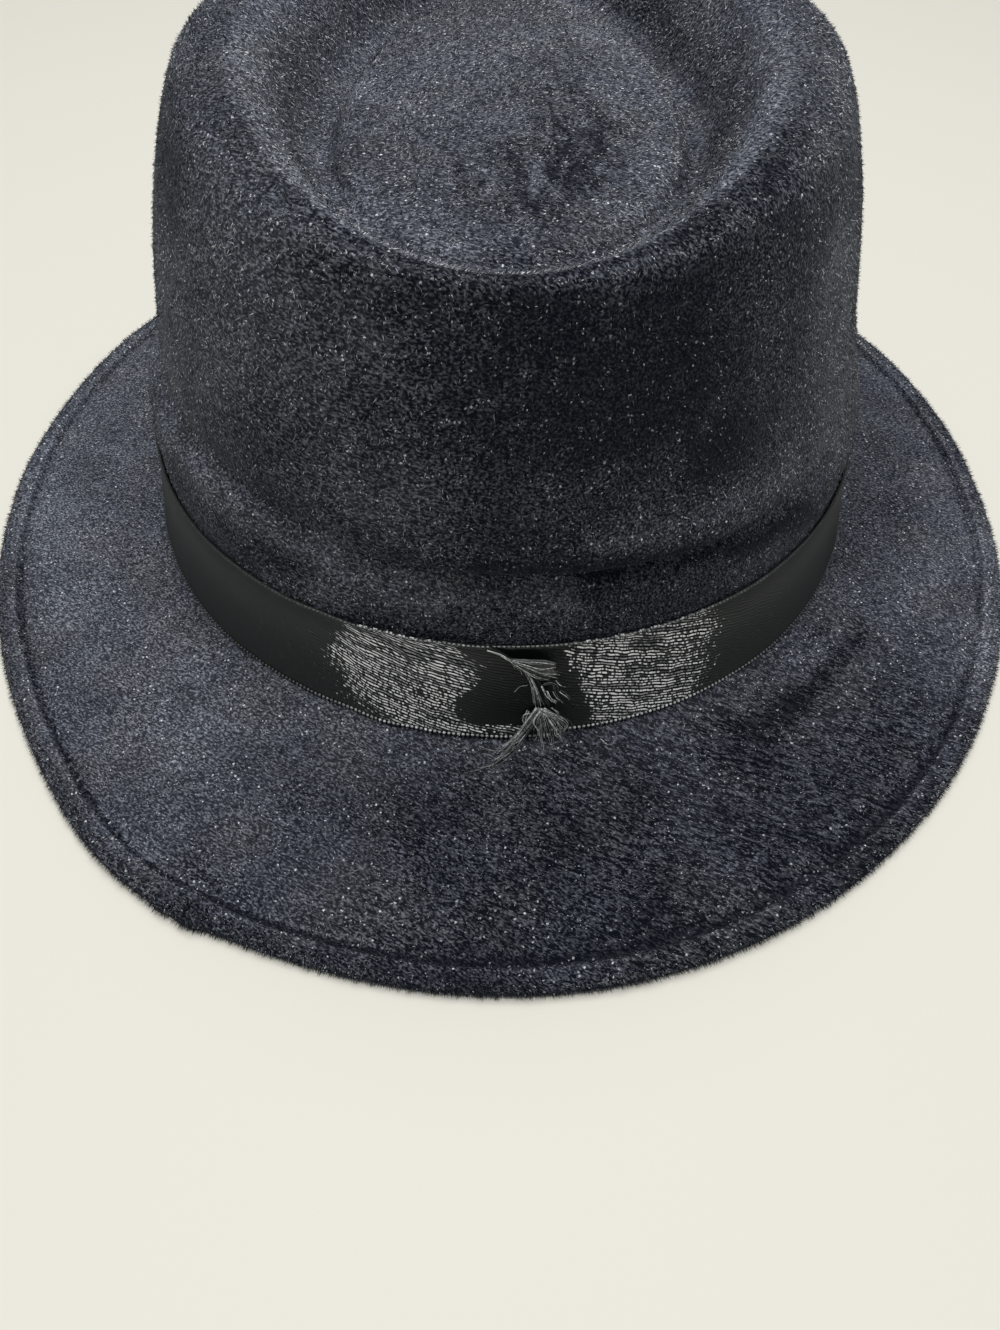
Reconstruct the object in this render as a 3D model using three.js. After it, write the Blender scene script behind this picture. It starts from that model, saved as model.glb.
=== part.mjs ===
// A velour costume hat: crown and brim moulded in one piece, and the satin ribbon wound round the crown.
// Millimetres, +Z up, +Y towards the hat's front. The rolled edge of the brim stands on z = 0, and the
// origin is the middle of the brim's outline there.
import * as THREE from 'three';

// Brim: its outline is an ellipse, with one bulge where the edge is stretched at the back left.
const BRIM_WIDTH = 269;
const BRIM_LENGTH = 299.4;
const BRIM_RISE = 7.2; // height of the brim's top where it meets the crown
const EDGE_THICKNESS = 3.2; // the edge is turned under, so it is thicker than the wall
const EDGE_WIDTH = 6; // from the outline to the groove inside the rolled edge
const GROOVE_DEPTH = 0.8;
const BULGE_REACH = 3.2;
const BULGE_ANGLE = 236; // degrees round the outline, from +X towards +Y
const BULGE_SPREAD = 9;

// Crown: head oval at its foot, and the heights and reaches that its sections follow.
const HEAD_WIDTH = 182.8;
const HEAD_BACK = 92.3; // from the origin back to the foot of the crown
const HEAD_FRONT = 104; // from the origin forward to the foot of the crown
const CROWN_HEIGHT = 122; // from z = 0 to the top of the side ridges
const WALL = 2;
const FOOT_FILLET = 2.4;
const PINCH_DEPTH = 5; // the two hollows at the front of the crown
const PINCH_ANGLE = 40; // either side of the front
const PINCH_SPREAD = 20;
const LEDGE_SHIFT = 2.2; // the ledge hangs over at the back right and falls back to a shelf at the back left
const OVERHANG_ANGLE = 294;
const SHELF_ANGLE = 221;
const LEDGE_SPREAD = 20;

// Ribbon
const RIBBON_WIDTH = 24.6;
const RIBBON_THICKNESS = 1;
const RIBBON_GAP = 0.35; // clearance to the crown, and between the lapped ends
const RIBBON_LIFT = 0.9; // clearance above the foot of the crown
const LAP_START = 260; // degrees: the end that lies underneath
const LAP_END_TOP = 271; // the end on top is cut on a slant
const LAP_END_BOTTOM = 275.5;
const LAP_CLIMB = 16; // degrees over which the ribbon climbs onto its own end

// Fineness of the mesh
const SEGMENTS = 72;
const NOSE_STEPS = 4;
const RIBBON_ROWS = 2;

// A table as a list of rows, each an object with the header's names
function table(header, ...rows) {
  return rows.map((row) => Object.fromEntries(header.map((name, i) => [name, row[i]])));
}

// Sections of the crown's outer skin, from its foot up over the ridge and into the dent. The up columns are
// shares of the height between foot and ridge, and side, back and front shares of the head oval at its foot.
// egg is how much narrower the front is than the back, pinch a share of the front hollows' depth, ledge a
// share of the ledge's shift, and inner is 1 where the inside skin has this section too.
const CROWN_SECTIONS = table(
  ['name', 'sideUp', 'side', 'backUp', 'back', 'frontUp', 'front', 'egg', 'pinch', 'ledge', 'inner'],
  ['foot',            0.000, 1.000, 0.000, 1.000, 0.000, 1.000, 0.035, 0.00, 0, 1],
  ['under ribbon',    0.112, 0.978, 0.112, 0.978, 0.112, 0.976, 0.035, 0.00, 0, 0],
  ['ribbon top',      0.216, 0.957, 0.216, 0.956, 0.216, 0.952, 0.035, 0.00, 0, 1],
  ['above ribbon',    0.272, 0.962, 0.272, 0.949, 0.272, 0.944, 0.035, 0.00, 0, 0],
  ['below ledge',     0.329, 0.951, 0.329, 0.938, 0.329, 0.931, 0.035, 0.00, 0, 1],
  ['crease',          0.373, 0.930, 0.373, 0.926, 0.373, 0.920, 0.035, 0.00, -0.6, 1],
  ['ledge',           0.399, 0.909, 0.399, 0.943, 0.399, 0.925, 0.035, 0.00, 1, 1],
  ['above ledge',     0.434, 0.897, 0.434, 0.952, 0.434, 0.926, 0.035, 0.00, 1, 0],
  ['wall start',      0.473, 0.885, 0.473, 0.953, 0.473, 0.922, 0.035, 0.10, 0.5, 1],
  ['lower wall',      0.530, 0.861, 0.530, 0.951, 0.530, 0.906, 0.040, 0.25, 0.15, 0],
  ['middle wall',     0.617, 0.833, 0.617, 0.945, 0.617, 0.881, 0.045, 0.45, 0, 1],
  ['upper wall',      0.704, 0.806, 0.704, 0.936, 0.704, 0.854, 0.050, 0.70, 0, 1],
  ['shoulder start',  0.782, 0.777, 0.782, 0.925, 0.782, 0.827, 0.055, 0.90, 0, 1],
  ['shoulder',        0.852, 0.746, 0.845, 0.912, 0.852, 0.798, 0.060, 1.00, 0, 1],
  ['shoulder bend',   0.913, 0.713, 0.875, 0.904, 0.904, 0.771, 0.070, 1.00, 0, 1],
  ['shoulder top',    0.961, 0.674, 0.888, 0.895, 0.939, 0.740, 0.080, 1.00, 0, 1],
  ['before ridge',    0.990, 0.614, 0.893, 0.887, 0.956, 0.704, 0.090, 0.95, 0, 0],
  ['ridge',           1.000, 0.547, 0.894, 0.879, 0.962, 0.668, 0.100, 0.90, 0, 1],
  ['past ridge',      0.980, 0.495, 0.889, 0.868, 0.949, 0.630, 0.110, 0.75, 0, 0],
  ['dent wall',       0.935, 0.457, 0.884, 0.853, 0.915, 0.596, 0.120, 0.55, 0, 1],
  ['dent slope',      0.888, 0.427, 0.878, 0.839, 0.884, 0.560, 0.130, 0.35, 0, 1],
  ['groove bank',     0.853, 0.397, 0.873, 0.828, 0.861, 0.526, 0.140, 0.15, 0, 0],
  ['groove floor',    0.840, 0.374, 0.871, 0.818, 0.852, 0.492, 0.150, 0.05, 0, 1],
  ['island foot',     0.852, 0.358, 0.873, 0.808, 0.857, 0.462, 0.150, 0.00, 0, 1],
  ['island edge',     0.875, 0.341, 0.879, 0.788, 0.871, 0.424, 0.150, 0.00, 0, 1],
  ['island slope',    0.890, 0.272, 0.890, 0.640, 0.885, 0.345, 0.140, 0.00, 0, 1],
  ['island top',      0.897, 0.170, 0.899, 0.420, 0.896, 0.200, 0.100, 0.00, 0, 1],
  ['island middle',   0.901, 0.082, 0.902, 0.215, 0.901, 0.050, 0.050, 0.00, 0, 1],
);
const ISLAND_PEAK = 0.903;

// Sections of the brim's top between its groove and the crown: out is a share of the way to the groove, and
// up a share of the climb from the rolled edge to the crown's foot.
const BRIM_SECTIONS = table(
  ['name', 'out', 'up'],
  ['beside groove', 0.95, 0.02],
  ['outer brim', 0.68, 0.16],
  ['middle brim', 0.38, 0.38],
  ['inner brim', 0.12, 0.66],
);

const radians = (degrees) => (degrees * Math.PI) / 180;
const bell = (x, spread) => Math.exp(-((x / spread) ** 2) / 2);
const mix = (a, b, share) => a + (b - a) * share;

// Difference between two directions in degrees, from -180 to 180
const turn = (from, to) => ((((to - from) % 360) + 540) % 360) - 180;

// A point of a ring at an angle. A ring has its reach to the side, back and front, its heights there, how
// egg-shaped it is, and how far the bulge, the pinch and the ledge's shift move it.
function ringPoint(ring, degrees) {
  const c = Math.cos(radians(degrees));
  const s = Math.sin(radians(degrees));
  const middle = (ring.front - ring.back) / 2;
  const half = (ring.front + ring.back) / 2;
  const point = new THREE.Vector3(ring.side * c * (1 - ring.egg * s), middle + half * s, 0);
  const near = (angle, spread) => bell(turn(angle, degrees), spread);
  const swell =
    ring.bulge * near(BULGE_ANGLE, BULGE_SPREAD) -
    ring.pinch * (near(90 - PINCH_ANGLE, PINCH_SPREAD) + near(90 + PINCH_ANGLE, PINCH_SPREAD)) +
    ring.ledge * (near(OVERHANG_ANGLE, LEDGE_SPREAD) - near(SHELF_ANGLE, LEDGE_SPREAD));
  point.multiplyScalar(1 + swell / point.length());
  const end = s < 0 ? ring.upBack : ring.upFront;
  point.z = ring.upSide * c * c + end * s * s;
  return point;
}

// A ring that keeps the brim's outline, so far inside it and at one height
function edgeRing(inside, height) {
  return {
    side: BRIM_WIDTH / 2 - inside,
    back: BRIM_LENGTH / 2 - inside,
    front: BRIM_LENGTH / 2 - inside,
    egg: 0,
    bulge: BULGE_REACH,
    pinch: 0,
    ledge: 0,
    upSide: height,
    upBack: height,
    upFront: height,
  };
}

// A ring of the crown, from its section
function crownRing(section) {
  const up = (share) => mix(BRIM_RISE, CROWN_HEIGHT, share);
  return {
    side: (HEAD_WIDTH / 2) * section.side,
    back: HEAD_BACK * section.back,
    front: HEAD_FRONT * section.front,
    egg: section.egg,
    bulge: 0,
    pinch: PINCH_DEPTH * section.pinch,
    ledge: LEDGE_SHIFT * section.ledge,
    upSide: up(section.sideUp),
    upBack: up(section.backUp),
    upFront: up(section.frontUp),
  };
}

// A ring part of the way from one to another
function ringBetween(from, to, share) {
  return Object.fromEntries(Object.keys(from).map((key) => [key, mix(from[key], to[key], share)]));
}

// A ring moved out or in by a length, and up
function ringBeside(ring, outward, upward) {
  return {
    ...ring,
    side: ring.side + outward,
    back: ring.back + outward,
    front: ring.front + outward,
    upSide: ring.upSide + upward,
    upBack: ring.upBack + upward,
    upFront: ring.upFront + upward,
  };
}

const ringPoints = (ring) =>
  Array.from({ length: SEGMENTS }, (_, i) => ringPoint(ring, (i * 360) / SEGMENTS));

// A closed body from rings of points between two end points, facing out when its first end is on top
function bodyFromRings(first, rings, last) {
  const count = rings[0].length;
  const points = [first, ...rings.flat(), last];
  const at = (ring, i) => 1 + ring * count + (i % count);
  const faces = [];
  for (let i = 0; i < count; i += 1) {
    faces.push(0, at(0, i), at(0, i + 1));
    for (let ring = 0; ring + 1 < rings.length; ring += 1) {
      faces.push(at(ring, i), at(ring + 1, i), at(ring + 1, i + 1));
      faces.push(at(ring, i), at(ring + 1, i + 1), at(ring, i + 1));
    }
    faces.push(at(rings.length - 1, i), points.length - 1, at(rings.length - 1, i + 1));
  }
  return geometry(points, faces);
}

function geometry(points, faces) {
  const made = new THREE.BufferGeometry();
  made.setAttribute('position', new THREE.Float32BufferAttribute(points.flatMap((p) => p.toArray()), 3));
  made.setIndex(faces);
  made.computeVertexNormals();
  return made;
}

// The rings moved inwards by the wall, square to the skin. Each ring's slope comes from its neighbours.
function insideSkin(rings, peak) {
  return rings.map((ring, r) =>
    ring.map((point, i) => {
      const up = rings[r + 1] ? rings[r + 1][i] : peak;
      const down = rings[r - 1] ? rings[r - 1][i] : point;
      const along = up.clone().sub(down);
      const round = ring[(i + 1) % ring.length].clone().sub(ring[(i + ring.length - 1) % ring.length]);
      const inwards = along.cross(round).normalize();
      return point.clone().addScaledVector(inwards, WALL);
    }),
  );
}

// Crown and brim in one piece
function hatShell() {
  const nose = EDGE_THICKNESS / 2;
  const edge = Array.from({ length: NOSE_STEPS + 1 }, (_, i) => {
    const angle = radians(-90 + (180 * i) / NOSE_STEPS);
    return edgeRing(nose * (1 - Math.cos(angle)), nose * (1 + Math.sin(angle)));
  });
  const groove = [
    edgeRing(EDGE_WIDTH * 0.75, EDGE_THICKNESS),
    edgeRing(EDGE_WIDTH, EDGE_THICKNESS - GROOVE_DEPTH),
    edgeRing(EDGE_WIDTH * 1.2, EDGE_THICKNESS),
  ];
  const foot = crownRing(CROWN_SECTIONS[0]);
  const brimInside = ringBeside(foot, FOOT_FILLET, -FOOT_FILLET / 4);
  const brimOutside = edgeRing(EDGE_WIDTH * 1.2, EDGE_THICKNESS);
  const brim = BRIM_SECTIONS.map((section) => {
    const ring = ringBetween(brimInside, brimOutside, section.out);
    const height = mix(EDGE_THICKNESS, brimInside.upSide, section.up);
    return { ...ring, upSide: height, upBack: height, upFront: height, inner: 1 };
  });
  const crown = CROWN_SECTIONS.map((section) => ({ ...crownRing(section), inner: section.inner }));
  const skin = [...brim, { ...brimInside, inner: 1 }, ...crown];
  const last = CROWN_SECTIONS.at(-1);
  const peak = new THREE.Vector3(
    0,
    (HEAD_FRONT * last.front - HEAD_BACK * last.back) / 2,
    mix(BRIM_RISE, CROWN_HEIGHT, ISLAND_PEAK),
  );
  const outside = [...edge, ...groove, ...skin].map(ringPoints);
  const inside = insideSkin(skin.filter((ring) => ring.inner).map(ringPoints), peak);
  const restInside = ringPoints(edgeRing(EDGE_WIDTH * 1.2, 0));
  const innerPeak = peak.clone().add(new THREE.Vector3(0, 0, -WALL));
  return bodyFromRings(peak, [...outside.reverse(), restInside, ...inside], innerPeak);
}

// A point of the crown's outer skin between its foot and the ridge, moved out from it by a length
function crownPoint(height, degrees, outward) {
  const rings = CROWN_SECTIONS.map(crownRing);
  let above = 1;
  while (rings[above].upSide < height) above += 1;
  const low = rings[above - 1];
  const high = rings[above];
  const share = (height - low.upSide) / (high.upSide - low.upSide);
  return ringPoint(ringBeside(ringBetween(low, high, share), outward, 0), degrees);
}

// The ribbon: a strip that starts under its own other end, goes once round and climbs onto its start
function ribbonBand() {
  const bottom = BRIM_RISE + RIBBON_LIFT;
  const step = 360 / SEGMENTS;
  const again = LAP_START + 360; // where the ribbon comes round to its own start
  const full = Array.from({ length: SEGMENTS }, (_, i) => LAP_START + i * step);
  const lapTop = LAP_END_TOP - LAP_START;
  const lapBottom = LAP_END_BOTTOM - LAP_START;
  const stations = [...full, again, again + lapTop / 2, again + lapTop];
  const loops = stations.map((degrees) => {
    const past = Math.max(0, degrees - again);
    const climb = THREE.MathUtils.smoothstep(degrees, again - LAP_CLIMB, again - step / 2);
    const inner = RIBBON_GAP + climb * (RIBBON_THICKNESS + RIBBON_GAP);
    const row = (share, outward) => {
      const slant = past * mix(lapBottom / lapTop, 1, share);
      return crownPoint(bottom + RIBBON_WIDTH * share, degrees - past + slant, outward);
    };
    const shares = Array.from({ length: RIBBON_ROWS + 1 }, (_, i) => i / RIBBON_ROWS);
    const outerFace = shares.map((share) => row(share, inner + RIBBON_THICKNESS));
    const innerFace = shares.map((share) => row(share, inner)).reverse();
    return [...outerFace, ...innerFace];
  });
  return stripFromLoops(loops);
}

// A closed body from loops of points one after another, with its two ends closed
function stripFromLoops(loops) {
  const count = loops[0].length;
  const faces = [];
  const at = (loop, i) => loop * count + (i % count);
  for (let loop = 0; loop + 1 < loops.length; loop += 1) {
    for (let i = 0; i < count; i += 1) {
      faces.push(at(loop, i), at(loop + 1, i), at(loop + 1, i + 1));
      faces.push(at(loop, i), at(loop + 1, i + 1), at(loop, i + 1));
    }
  }
  const end = loops.length - 1;
  for (let i = 0; i < RIBBON_ROWS; i += 1) {
    const facing = count - 1 - i;
    faces.push(at(0, i), at(0, i + 1), at(0, facing), at(0, i + 1), at(0, facing - 1), at(0, facing));
    faces.push(at(end, i), at(end, facing), at(end, i + 1));
    faces.push(at(end, i + 1), at(end, facing), at(end, facing - 1));
  }
  return geometry(loops.flat(), faces);
}

function piece(name, shape, colour, roughness) {
  const material = new THREE.MeshStandardMaterial({ color: colour, roughness, metalness: 0 });
  const mesh = new THREE.Mesh(shape, material);
  mesh.name = name;
  return mesh;
}

const hat = new THREE.Group();
hat.add(piece('hat_shell', hatShell(), 0x1c1f2b, 0.95));
hat.add(piece('ribbon_band', ribbonBand(), 0x0d0e0f, 0.35));

export default hat;
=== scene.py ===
"""A velour costume hat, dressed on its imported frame.

The crown and the brim are one fine shell with a short pile. A satin ribbon is wound round the crown, and its
cut end lies on top at the back with a folded tip and loose threads. Sizes in the classes are millimetres and
degrees, as a hat maker gives them, and meshes are made in metres.
"""
import logging
import math
from dataclasses import dataclass
from enum import Enum, IntEnum
from functools import cached_property

import bpy
import numpy as np
from mathutils import Matrix, Vector
from mathutils.bvhtree import BVHTree


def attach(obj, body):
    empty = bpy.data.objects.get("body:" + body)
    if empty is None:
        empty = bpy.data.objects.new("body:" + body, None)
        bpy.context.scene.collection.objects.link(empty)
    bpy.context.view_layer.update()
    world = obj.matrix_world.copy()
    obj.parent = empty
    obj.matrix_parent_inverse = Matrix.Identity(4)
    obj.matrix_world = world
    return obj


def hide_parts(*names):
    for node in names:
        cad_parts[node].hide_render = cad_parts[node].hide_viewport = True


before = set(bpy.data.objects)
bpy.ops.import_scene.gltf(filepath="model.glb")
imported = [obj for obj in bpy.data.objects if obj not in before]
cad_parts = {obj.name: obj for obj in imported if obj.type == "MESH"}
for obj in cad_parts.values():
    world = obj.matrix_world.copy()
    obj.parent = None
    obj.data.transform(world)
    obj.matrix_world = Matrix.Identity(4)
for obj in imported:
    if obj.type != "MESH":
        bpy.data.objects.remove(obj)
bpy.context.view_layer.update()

LOG = logging.getLogger("hat")
MM = 0.001
FULL_TURN = 360.0
BACK = 270.0
ALL_ROUND = 1e6
Array = np.ndarray
Piece = bpy.types.Object
Socket = bpy.types.NodeSocket


class Column(IntEnum):
    """Columns of a ring: its reaches, its heights there, and what shapes its round."""

    SIDE = 0
    BACK = 1
    FRONT = 2
    SIDE_UP = 3
    BACK_UP = 4
    FRONT_UP = 5
    EGG = 6
    BULGE = 7
    PINCH = 8
    LEDGE = 9


class Section(IntEnum):
    """Rings that things are set out from, counted from the crown's first one."""

    EDGE_GROOVE = -7
    RIBBON_TOP = 2
    RIDGE = 17
    ISLAND_EDGE = 24


class Part(Enum):
    """Parts of the hat's outside that the pile's brushing and its painted light and shade are marked on by
    themselves.
    """

    BRIM = "brim"
    WALL = "wall"
    TOP = "top"


def bell(offset: Array, spread: float) -> Array:
    """Bell curve: e to the minus half the square of offset over spread."""
    return np.exp(-0.5 * (offset / spread) ** 2)


def turn(start: float, angles: Array) -> Array:
    """Difference between a direction and others, in degrees from -180 to 180."""
    return (angles - start + 540.0) % FULL_TURN - 180.0


def direction(points: Array) -> Array:
    """Direction of points from the middle of the hat, in degrees from +X towards +Y."""
    return np.degrees(np.arctan2(points[..., 1], points[..., 0]))


def fade(value: Array, low: float, high: float) -> Array:
    """Smooth step: 0 at low, 1 at high, and three squares less two cubes of the share between."""
    share = np.clip((value - low) / (high - low), 0.0, 1.0)
    return share * share * (3.0 - 2.0 * share)


def hashed(cells: Array, seed: int) -> Array:
    """Random numbers from -1 to 1 that depend on whole-number cells alone.

    Each is the fraction of a large sine of the cell's weighted sum.
    """
    weights = np.array([127.1, 311.7, 74.7])
    return 2.0 * np.modf(np.abs(np.sin(cells @ weights + seed * 19.19) * 43758.5453))[0] - 1.0


def cloud(points: Array, cell: float, seed: int) -> Array:
    """Smooth noise in space: random numbers at the corners of a lattice, blended with a smooth step.

    Args:
        points: Points, in the last axis.
        cell: Size of the lattice, in the points' unit.
        seed: Another seed gives another cloud.

    Returns:
        A value from -1 to 1 for each point.
    """
    base = np.floor(points / cell)
    share = fade(points / cell - base, 0.0, 1.0)
    total = np.zeros(points.shape[:-1])
    for corner in np.ndindex(2, 2, 2):
        weight = np.prod(np.where(np.array(corner) == 1, share, 1.0 - share), axis=-1)
        total += weight * hashed(base + np.array(corner), seed)
    return total


def spline(keys: Array, values: Array, where: Array) -> Array:
    """Smooth curve through rows of values.

    Each piece is a cubic with the values at its ends, and slopes there that weigh the chords either side.

    Args:
        keys: Rising parameter of each row.
        values: Rows that the curve goes through.
        where: Parameters to find it at.

    Returns:
        One row for each parameter.
    """
    step = np.diff(keys)[:, None]
    chord = np.diff(values, axis=0) / step
    inner = (chord[:-1] * step[1:] + chord[1:] * step[:-1]) / (step[:-1] + step[1:])
    slope = np.concatenate([chord[:1], inner, chord[-1:]])
    piece = np.clip(np.searchsorted(keys, where, side="right") - 1, 0, len(keys) - 2)
    length = step[piece]
    t = (where - keys[piece])[:, None] / length
    hold = 2 * t**3 - 3 * t**2 + 1
    start = hold * values[piece] + (t**3 - 2 * t**2 + t) * length * slope[piece]
    return start + (1 - hold) * values[piece + 1] + (t**3 - t**2) * length * slope[piece + 1]


def unit(vectors: Array) -> Array:
    """The vectors at length one."""
    return vectors / np.maximum(np.linalg.norm(vectors, axis=-1, keepdims=True), 1e-12)


def along(line: Array) -> Array:
    """Distance along a line, at each of its points."""
    return np.concatenate([[0.0], np.cumsum(np.linalg.norm(np.diff(line, axis=0), axis=-1))])


def across(first: Array, second: Array, share: Array) -> Array:
    """Part of the way from one thing to another."""
    return first * (1 - share) + second * share


def grid_normals(points: Array) -> Array:
    """Normals of a grid whose columns close: the cross product of the steps round and along it."""
    round_step = np.roll(points, -1, axis=1) - np.roll(points, 1, axis=1)
    return unit(np.cross(round_step, np.gradient(points, axis=0)))


def tube_faces(rows: int, columns: int) -> Array:
    """Four-cornered faces between the rows of a grid whose columns close.

    They face out where the rows climb and the columns go anticlockwise.
    """
    row, column = np.meshgrid(np.arange(rows - 1) * columns, np.arange(columns), indexing="ij")
    after = (column + 1) % columns
    corners = (row + column, row + after, row + columns + after, row + columns + column)
    return np.stack(corners, axis=-1).reshape(-1, 4)


def capped_tubes(rows: int, columns: int, copies: int = 1) -> list:
    """Faces of closed tubes whose points follow one another: their sides, then a cap at each end."""
    start = np.arange(copies)[:, None, None] * rows * columns
    cap = np.arange(columns)
    sides = (tube_faces(rows, columns)[None] + start).reshape(-1, 4).tolist()
    first = (cap[::-1][None] + start[:, 0]).tolist()
    return sides + first + (cap[None] + (rows - 1) * columns + start[:, 0]).tolist()


def make_piece(name: str, points: Array, faces: list, smooth: bool = True) -> Piece:
    """Puts points and faces into a new mesh object at the origin.

    Args:
        name: Name of the piece.
        points: Its points, in millimetres, in the last axis.
        faces: Lists of point numbers.
        smooth: Shade the faces smooth.

    Returns:
        The new object, linked to the scene.
    """
    mesh = bpy.data.meshes.new(name)
    mesh.from_pydata((points.reshape(-1, 3) * MM).tolist(), [], faces)
    mesh.polygons.foreach_set("use_smooth", np.full(len(mesh.polygons), smooth))
    mesh.update()
    piece = bpy.data.objects.new(name, mesh)
    bpy.context.scene.collection.objects.link(piece)
    LOG.info("%s: %d points, %d faces", name, len(mesh.vertices), len(mesh.polygons))
    return piece


def set_value(piece: Piece, name: str, values: Array) -> None:
    """Writes one number for each point of a piece into a named attribute."""
    layer = piece.data.attributes.new(name, "FLOAT", "POINT")
    layer.data.foreach_set("value", np.asarray(values, dtype=np.float32).ravel())


def round_bead() -> tuple[Array, Array]:
    """Points on the unit sphere and triangles of a low round bead: two rings of six between two poles."""
    count = 6
    side = np.repeat([-0.45, 0.45], count)
    around = np.tile(np.arange(count) * 2 * math.pi / count, 2)
    reach = np.sqrt(1 - side**2)
    rings = np.stack([side, reach * np.cos(around), reach * np.sin(around)], axis=-1)
    points = np.concatenate([rings, [[-1.0, 0.0, 0.0], [1.0, 0.0, 0.0]]])
    i = np.arange(count)
    j = (i + 1) % count
    first_pole, last_pole = np.full(count, 2 * count), np.full(count, 2 * count + 1)
    corners = (
        (i, j, j + count), (i, j + count, i + count), (j, i, first_pole), (i + count, j + count, last_pole),
    )
    return points, np.concatenate([np.stack(triangle, axis=-1) for triangle in corners])


@dataclass
class HatForm:
    """Shape of crown and brim, as rings from the rolled edge up over the crown into its dent."""

    brim_width: float = 269.0
    brim_length: float = 299.4
    brim_rise: float = 7.2
    edge_thickness: float = 3.2
    edge_width: float = 6.0
    bulge_reach: float = 3.2
    bulge_angle: float = 236.0
    bulge_spread: float = 9.0
    head_width: float = 182.8
    head_back: float = 92.3
    head_front: float = 104.0
    crown_height: float = 122.0
    wall: float = 2.0
    foot_fillet: float = 2.4
    pinch_depth: float = 5.0
    pinch_angle: float = 40.0
    pinch_spread: float = 20.0
    ledge_shift: float = 2.2
    overhang_angle: float = 294.0
    shelf_angle: float = 221.0
    ledge_spread: float = 20.0
    island_peak: float = 0.903
    wall_rings: int = 14

    # side up, side, back up, back, front up, front, egg, pinch, ledge, and 1 where the inside follows
    crown: tuple = (
        (0.000, 1.000, 0.000, 1.000, 0.000, 1.000, 0.035, 0.00, 0.00, 1),
        (0.112, 0.978, 0.112, 0.978, 0.112, 0.976, 0.035, 0.00, 0.00, 0),
        (0.216, 0.957, 0.216, 0.956, 0.216, 0.952, 0.035, 0.00, 0.00, 1),
        (0.272, 0.962, 0.272, 0.949, 0.272, 0.944, 0.035, 0.00, 0.00, 0),
        (0.329, 0.951, 0.329, 0.938, 0.329, 0.931, 0.035, 0.00, 0.00, 1),
        (0.373, 0.930, 0.373, 0.926, 0.373, 0.920, 0.035, 0.00, -0.60, 1),
        (0.399, 0.909, 0.399, 0.943, 0.399, 0.925, 0.035, 0.00, 1.00, 1),
        (0.434, 0.897, 0.434, 0.952, 0.434, 0.926, 0.035, 0.00, 1.00, 0),
        (0.473, 0.885, 0.473, 0.953, 0.473, 0.922, 0.035, 0.10, 0.50, 1),
        (0.530, 0.861, 0.530, 0.951, 0.530, 0.906, 0.040, 0.25, 0.15, 0),
        (0.617, 0.833, 0.617, 0.945, 0.617, 0.881, 0.045, 0.45, 0.00, 1),
        (0.704, 0.806, 0.704, 0.936, 0.704, 0.854, 0.050, 0.70, 0.00, 1),
        (0.782, 0.777, 0.782, 0.925, 0.782, 0.827, 0.055, 0.90, 0.00, 1),
        (0.852, 0.746, 0.845, 0.912, 0.852, 0.798, 0.060, 1.00, 0.00, 1),
        (0.913, 0.713, 0.875, 0.904, 0.904, 0.771, 0.070, 1.00, 0.00, 1),
        (0.961, 0.674, 0.888, 0.895, 0.939, 0.740, 0.080, 1.00, 0.00, 1),
        (0.990, 0.614, 0.893, 0.887, 0.956, 0.704, 0.090, 0.95, 0.00, 0),
        (1.000, 0.547, 0.894, 0.879, 0.962, 0.668, 0.100, 0.90, 0.00, 1),
        (0.980, 0.495, 0.889, 0.868, 0.949, 0.630, 0.110, 0.75, 0.00, 0),
        (0.935, 0.457, 0.884, 0.853, 0.915, 0.596, 0.120, 0.55, 0.00, 1),
        (0.888, 0.427, 0.878, 0.839, 0.884, 0.560, 0.130, 0.35, 0.00, 1),
        (0.853, 0.397, 0.873, 0.828, 0.861, 0.526, 0.140, 0.15, 0.00, 0),
        (0.840, 0.374, 0.871, 0.818, 0.852, 0.492, 0.150, 0.05, 0.00, 1),
        (0.852, 0.358, 0.873, 0.808, 0.857, 0.462, 0.150, 0.00, 0.00, 1),
        (0.875, 0.341, 0.879, 0.788, 0.871, 0.424, 0.150, 0.00, 0.00, 1),
        (0.890, 0.272, 0.890, 0.640, 0.885, 0.345, 0.140, 0.00, 0.00, 1),
        (0.897, 0.170, 0.899, 0.420, 0.896, 0.200, 0.100, 0.00, 0.00, 1),
        (0.901, 0.082, 0.902, 0.215, 0.901, 0.050, 0.050, 0.00, 0.00, 1),
    )
    # share of the way out to the groove, and of the climb from the rolled edge to the crown's foot
    brim: tuple = ((0.95, 0.02), (0.68, 0.16), (0.38, 0.38), (0.12, 0.66))
    # hem's bead and groove: share of the edge's width inside the outline, and height over the edge's top
    hem: tuple = ((0.45, 0.1), (0.62, 0.0), (0.74, 0.15), (0.84, -0.35), (0.93, -0.8), (1.04, -0.75))

    def edge_ring(self, inside: float, height: float) -> Array:
        """A ring that keeps the brim's outline, so far inside it and at one height."""
        side = self.brim_width / 2 - inside
        end = self.brim_length / 2 - inside
        return np.array([side, end, end, height, height, height, 0.0, self.bulge_reach, 0.0, 0.0])

    def crown_rings(self) -> Array:
        """Rings of the crown from its sections, in millimetres."""
        up, side, back_up, back, front_up, front, egg, pinch, ledge, _ = np.array(self.crown).T
        climb = self.crown_height - self.brim_rise
        rings = [side * self.head_width / 2, back * self.head_back, front * self.head_front]
        rings += [self.brim_rise + climb * share for share in (up, back_up, front_up)]
        rings += [egg, 0 * egg, pinch * self.pinch_depth, ledge * self.ledge_shift]
        return np.stack(rings, axis=-1)

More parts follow.
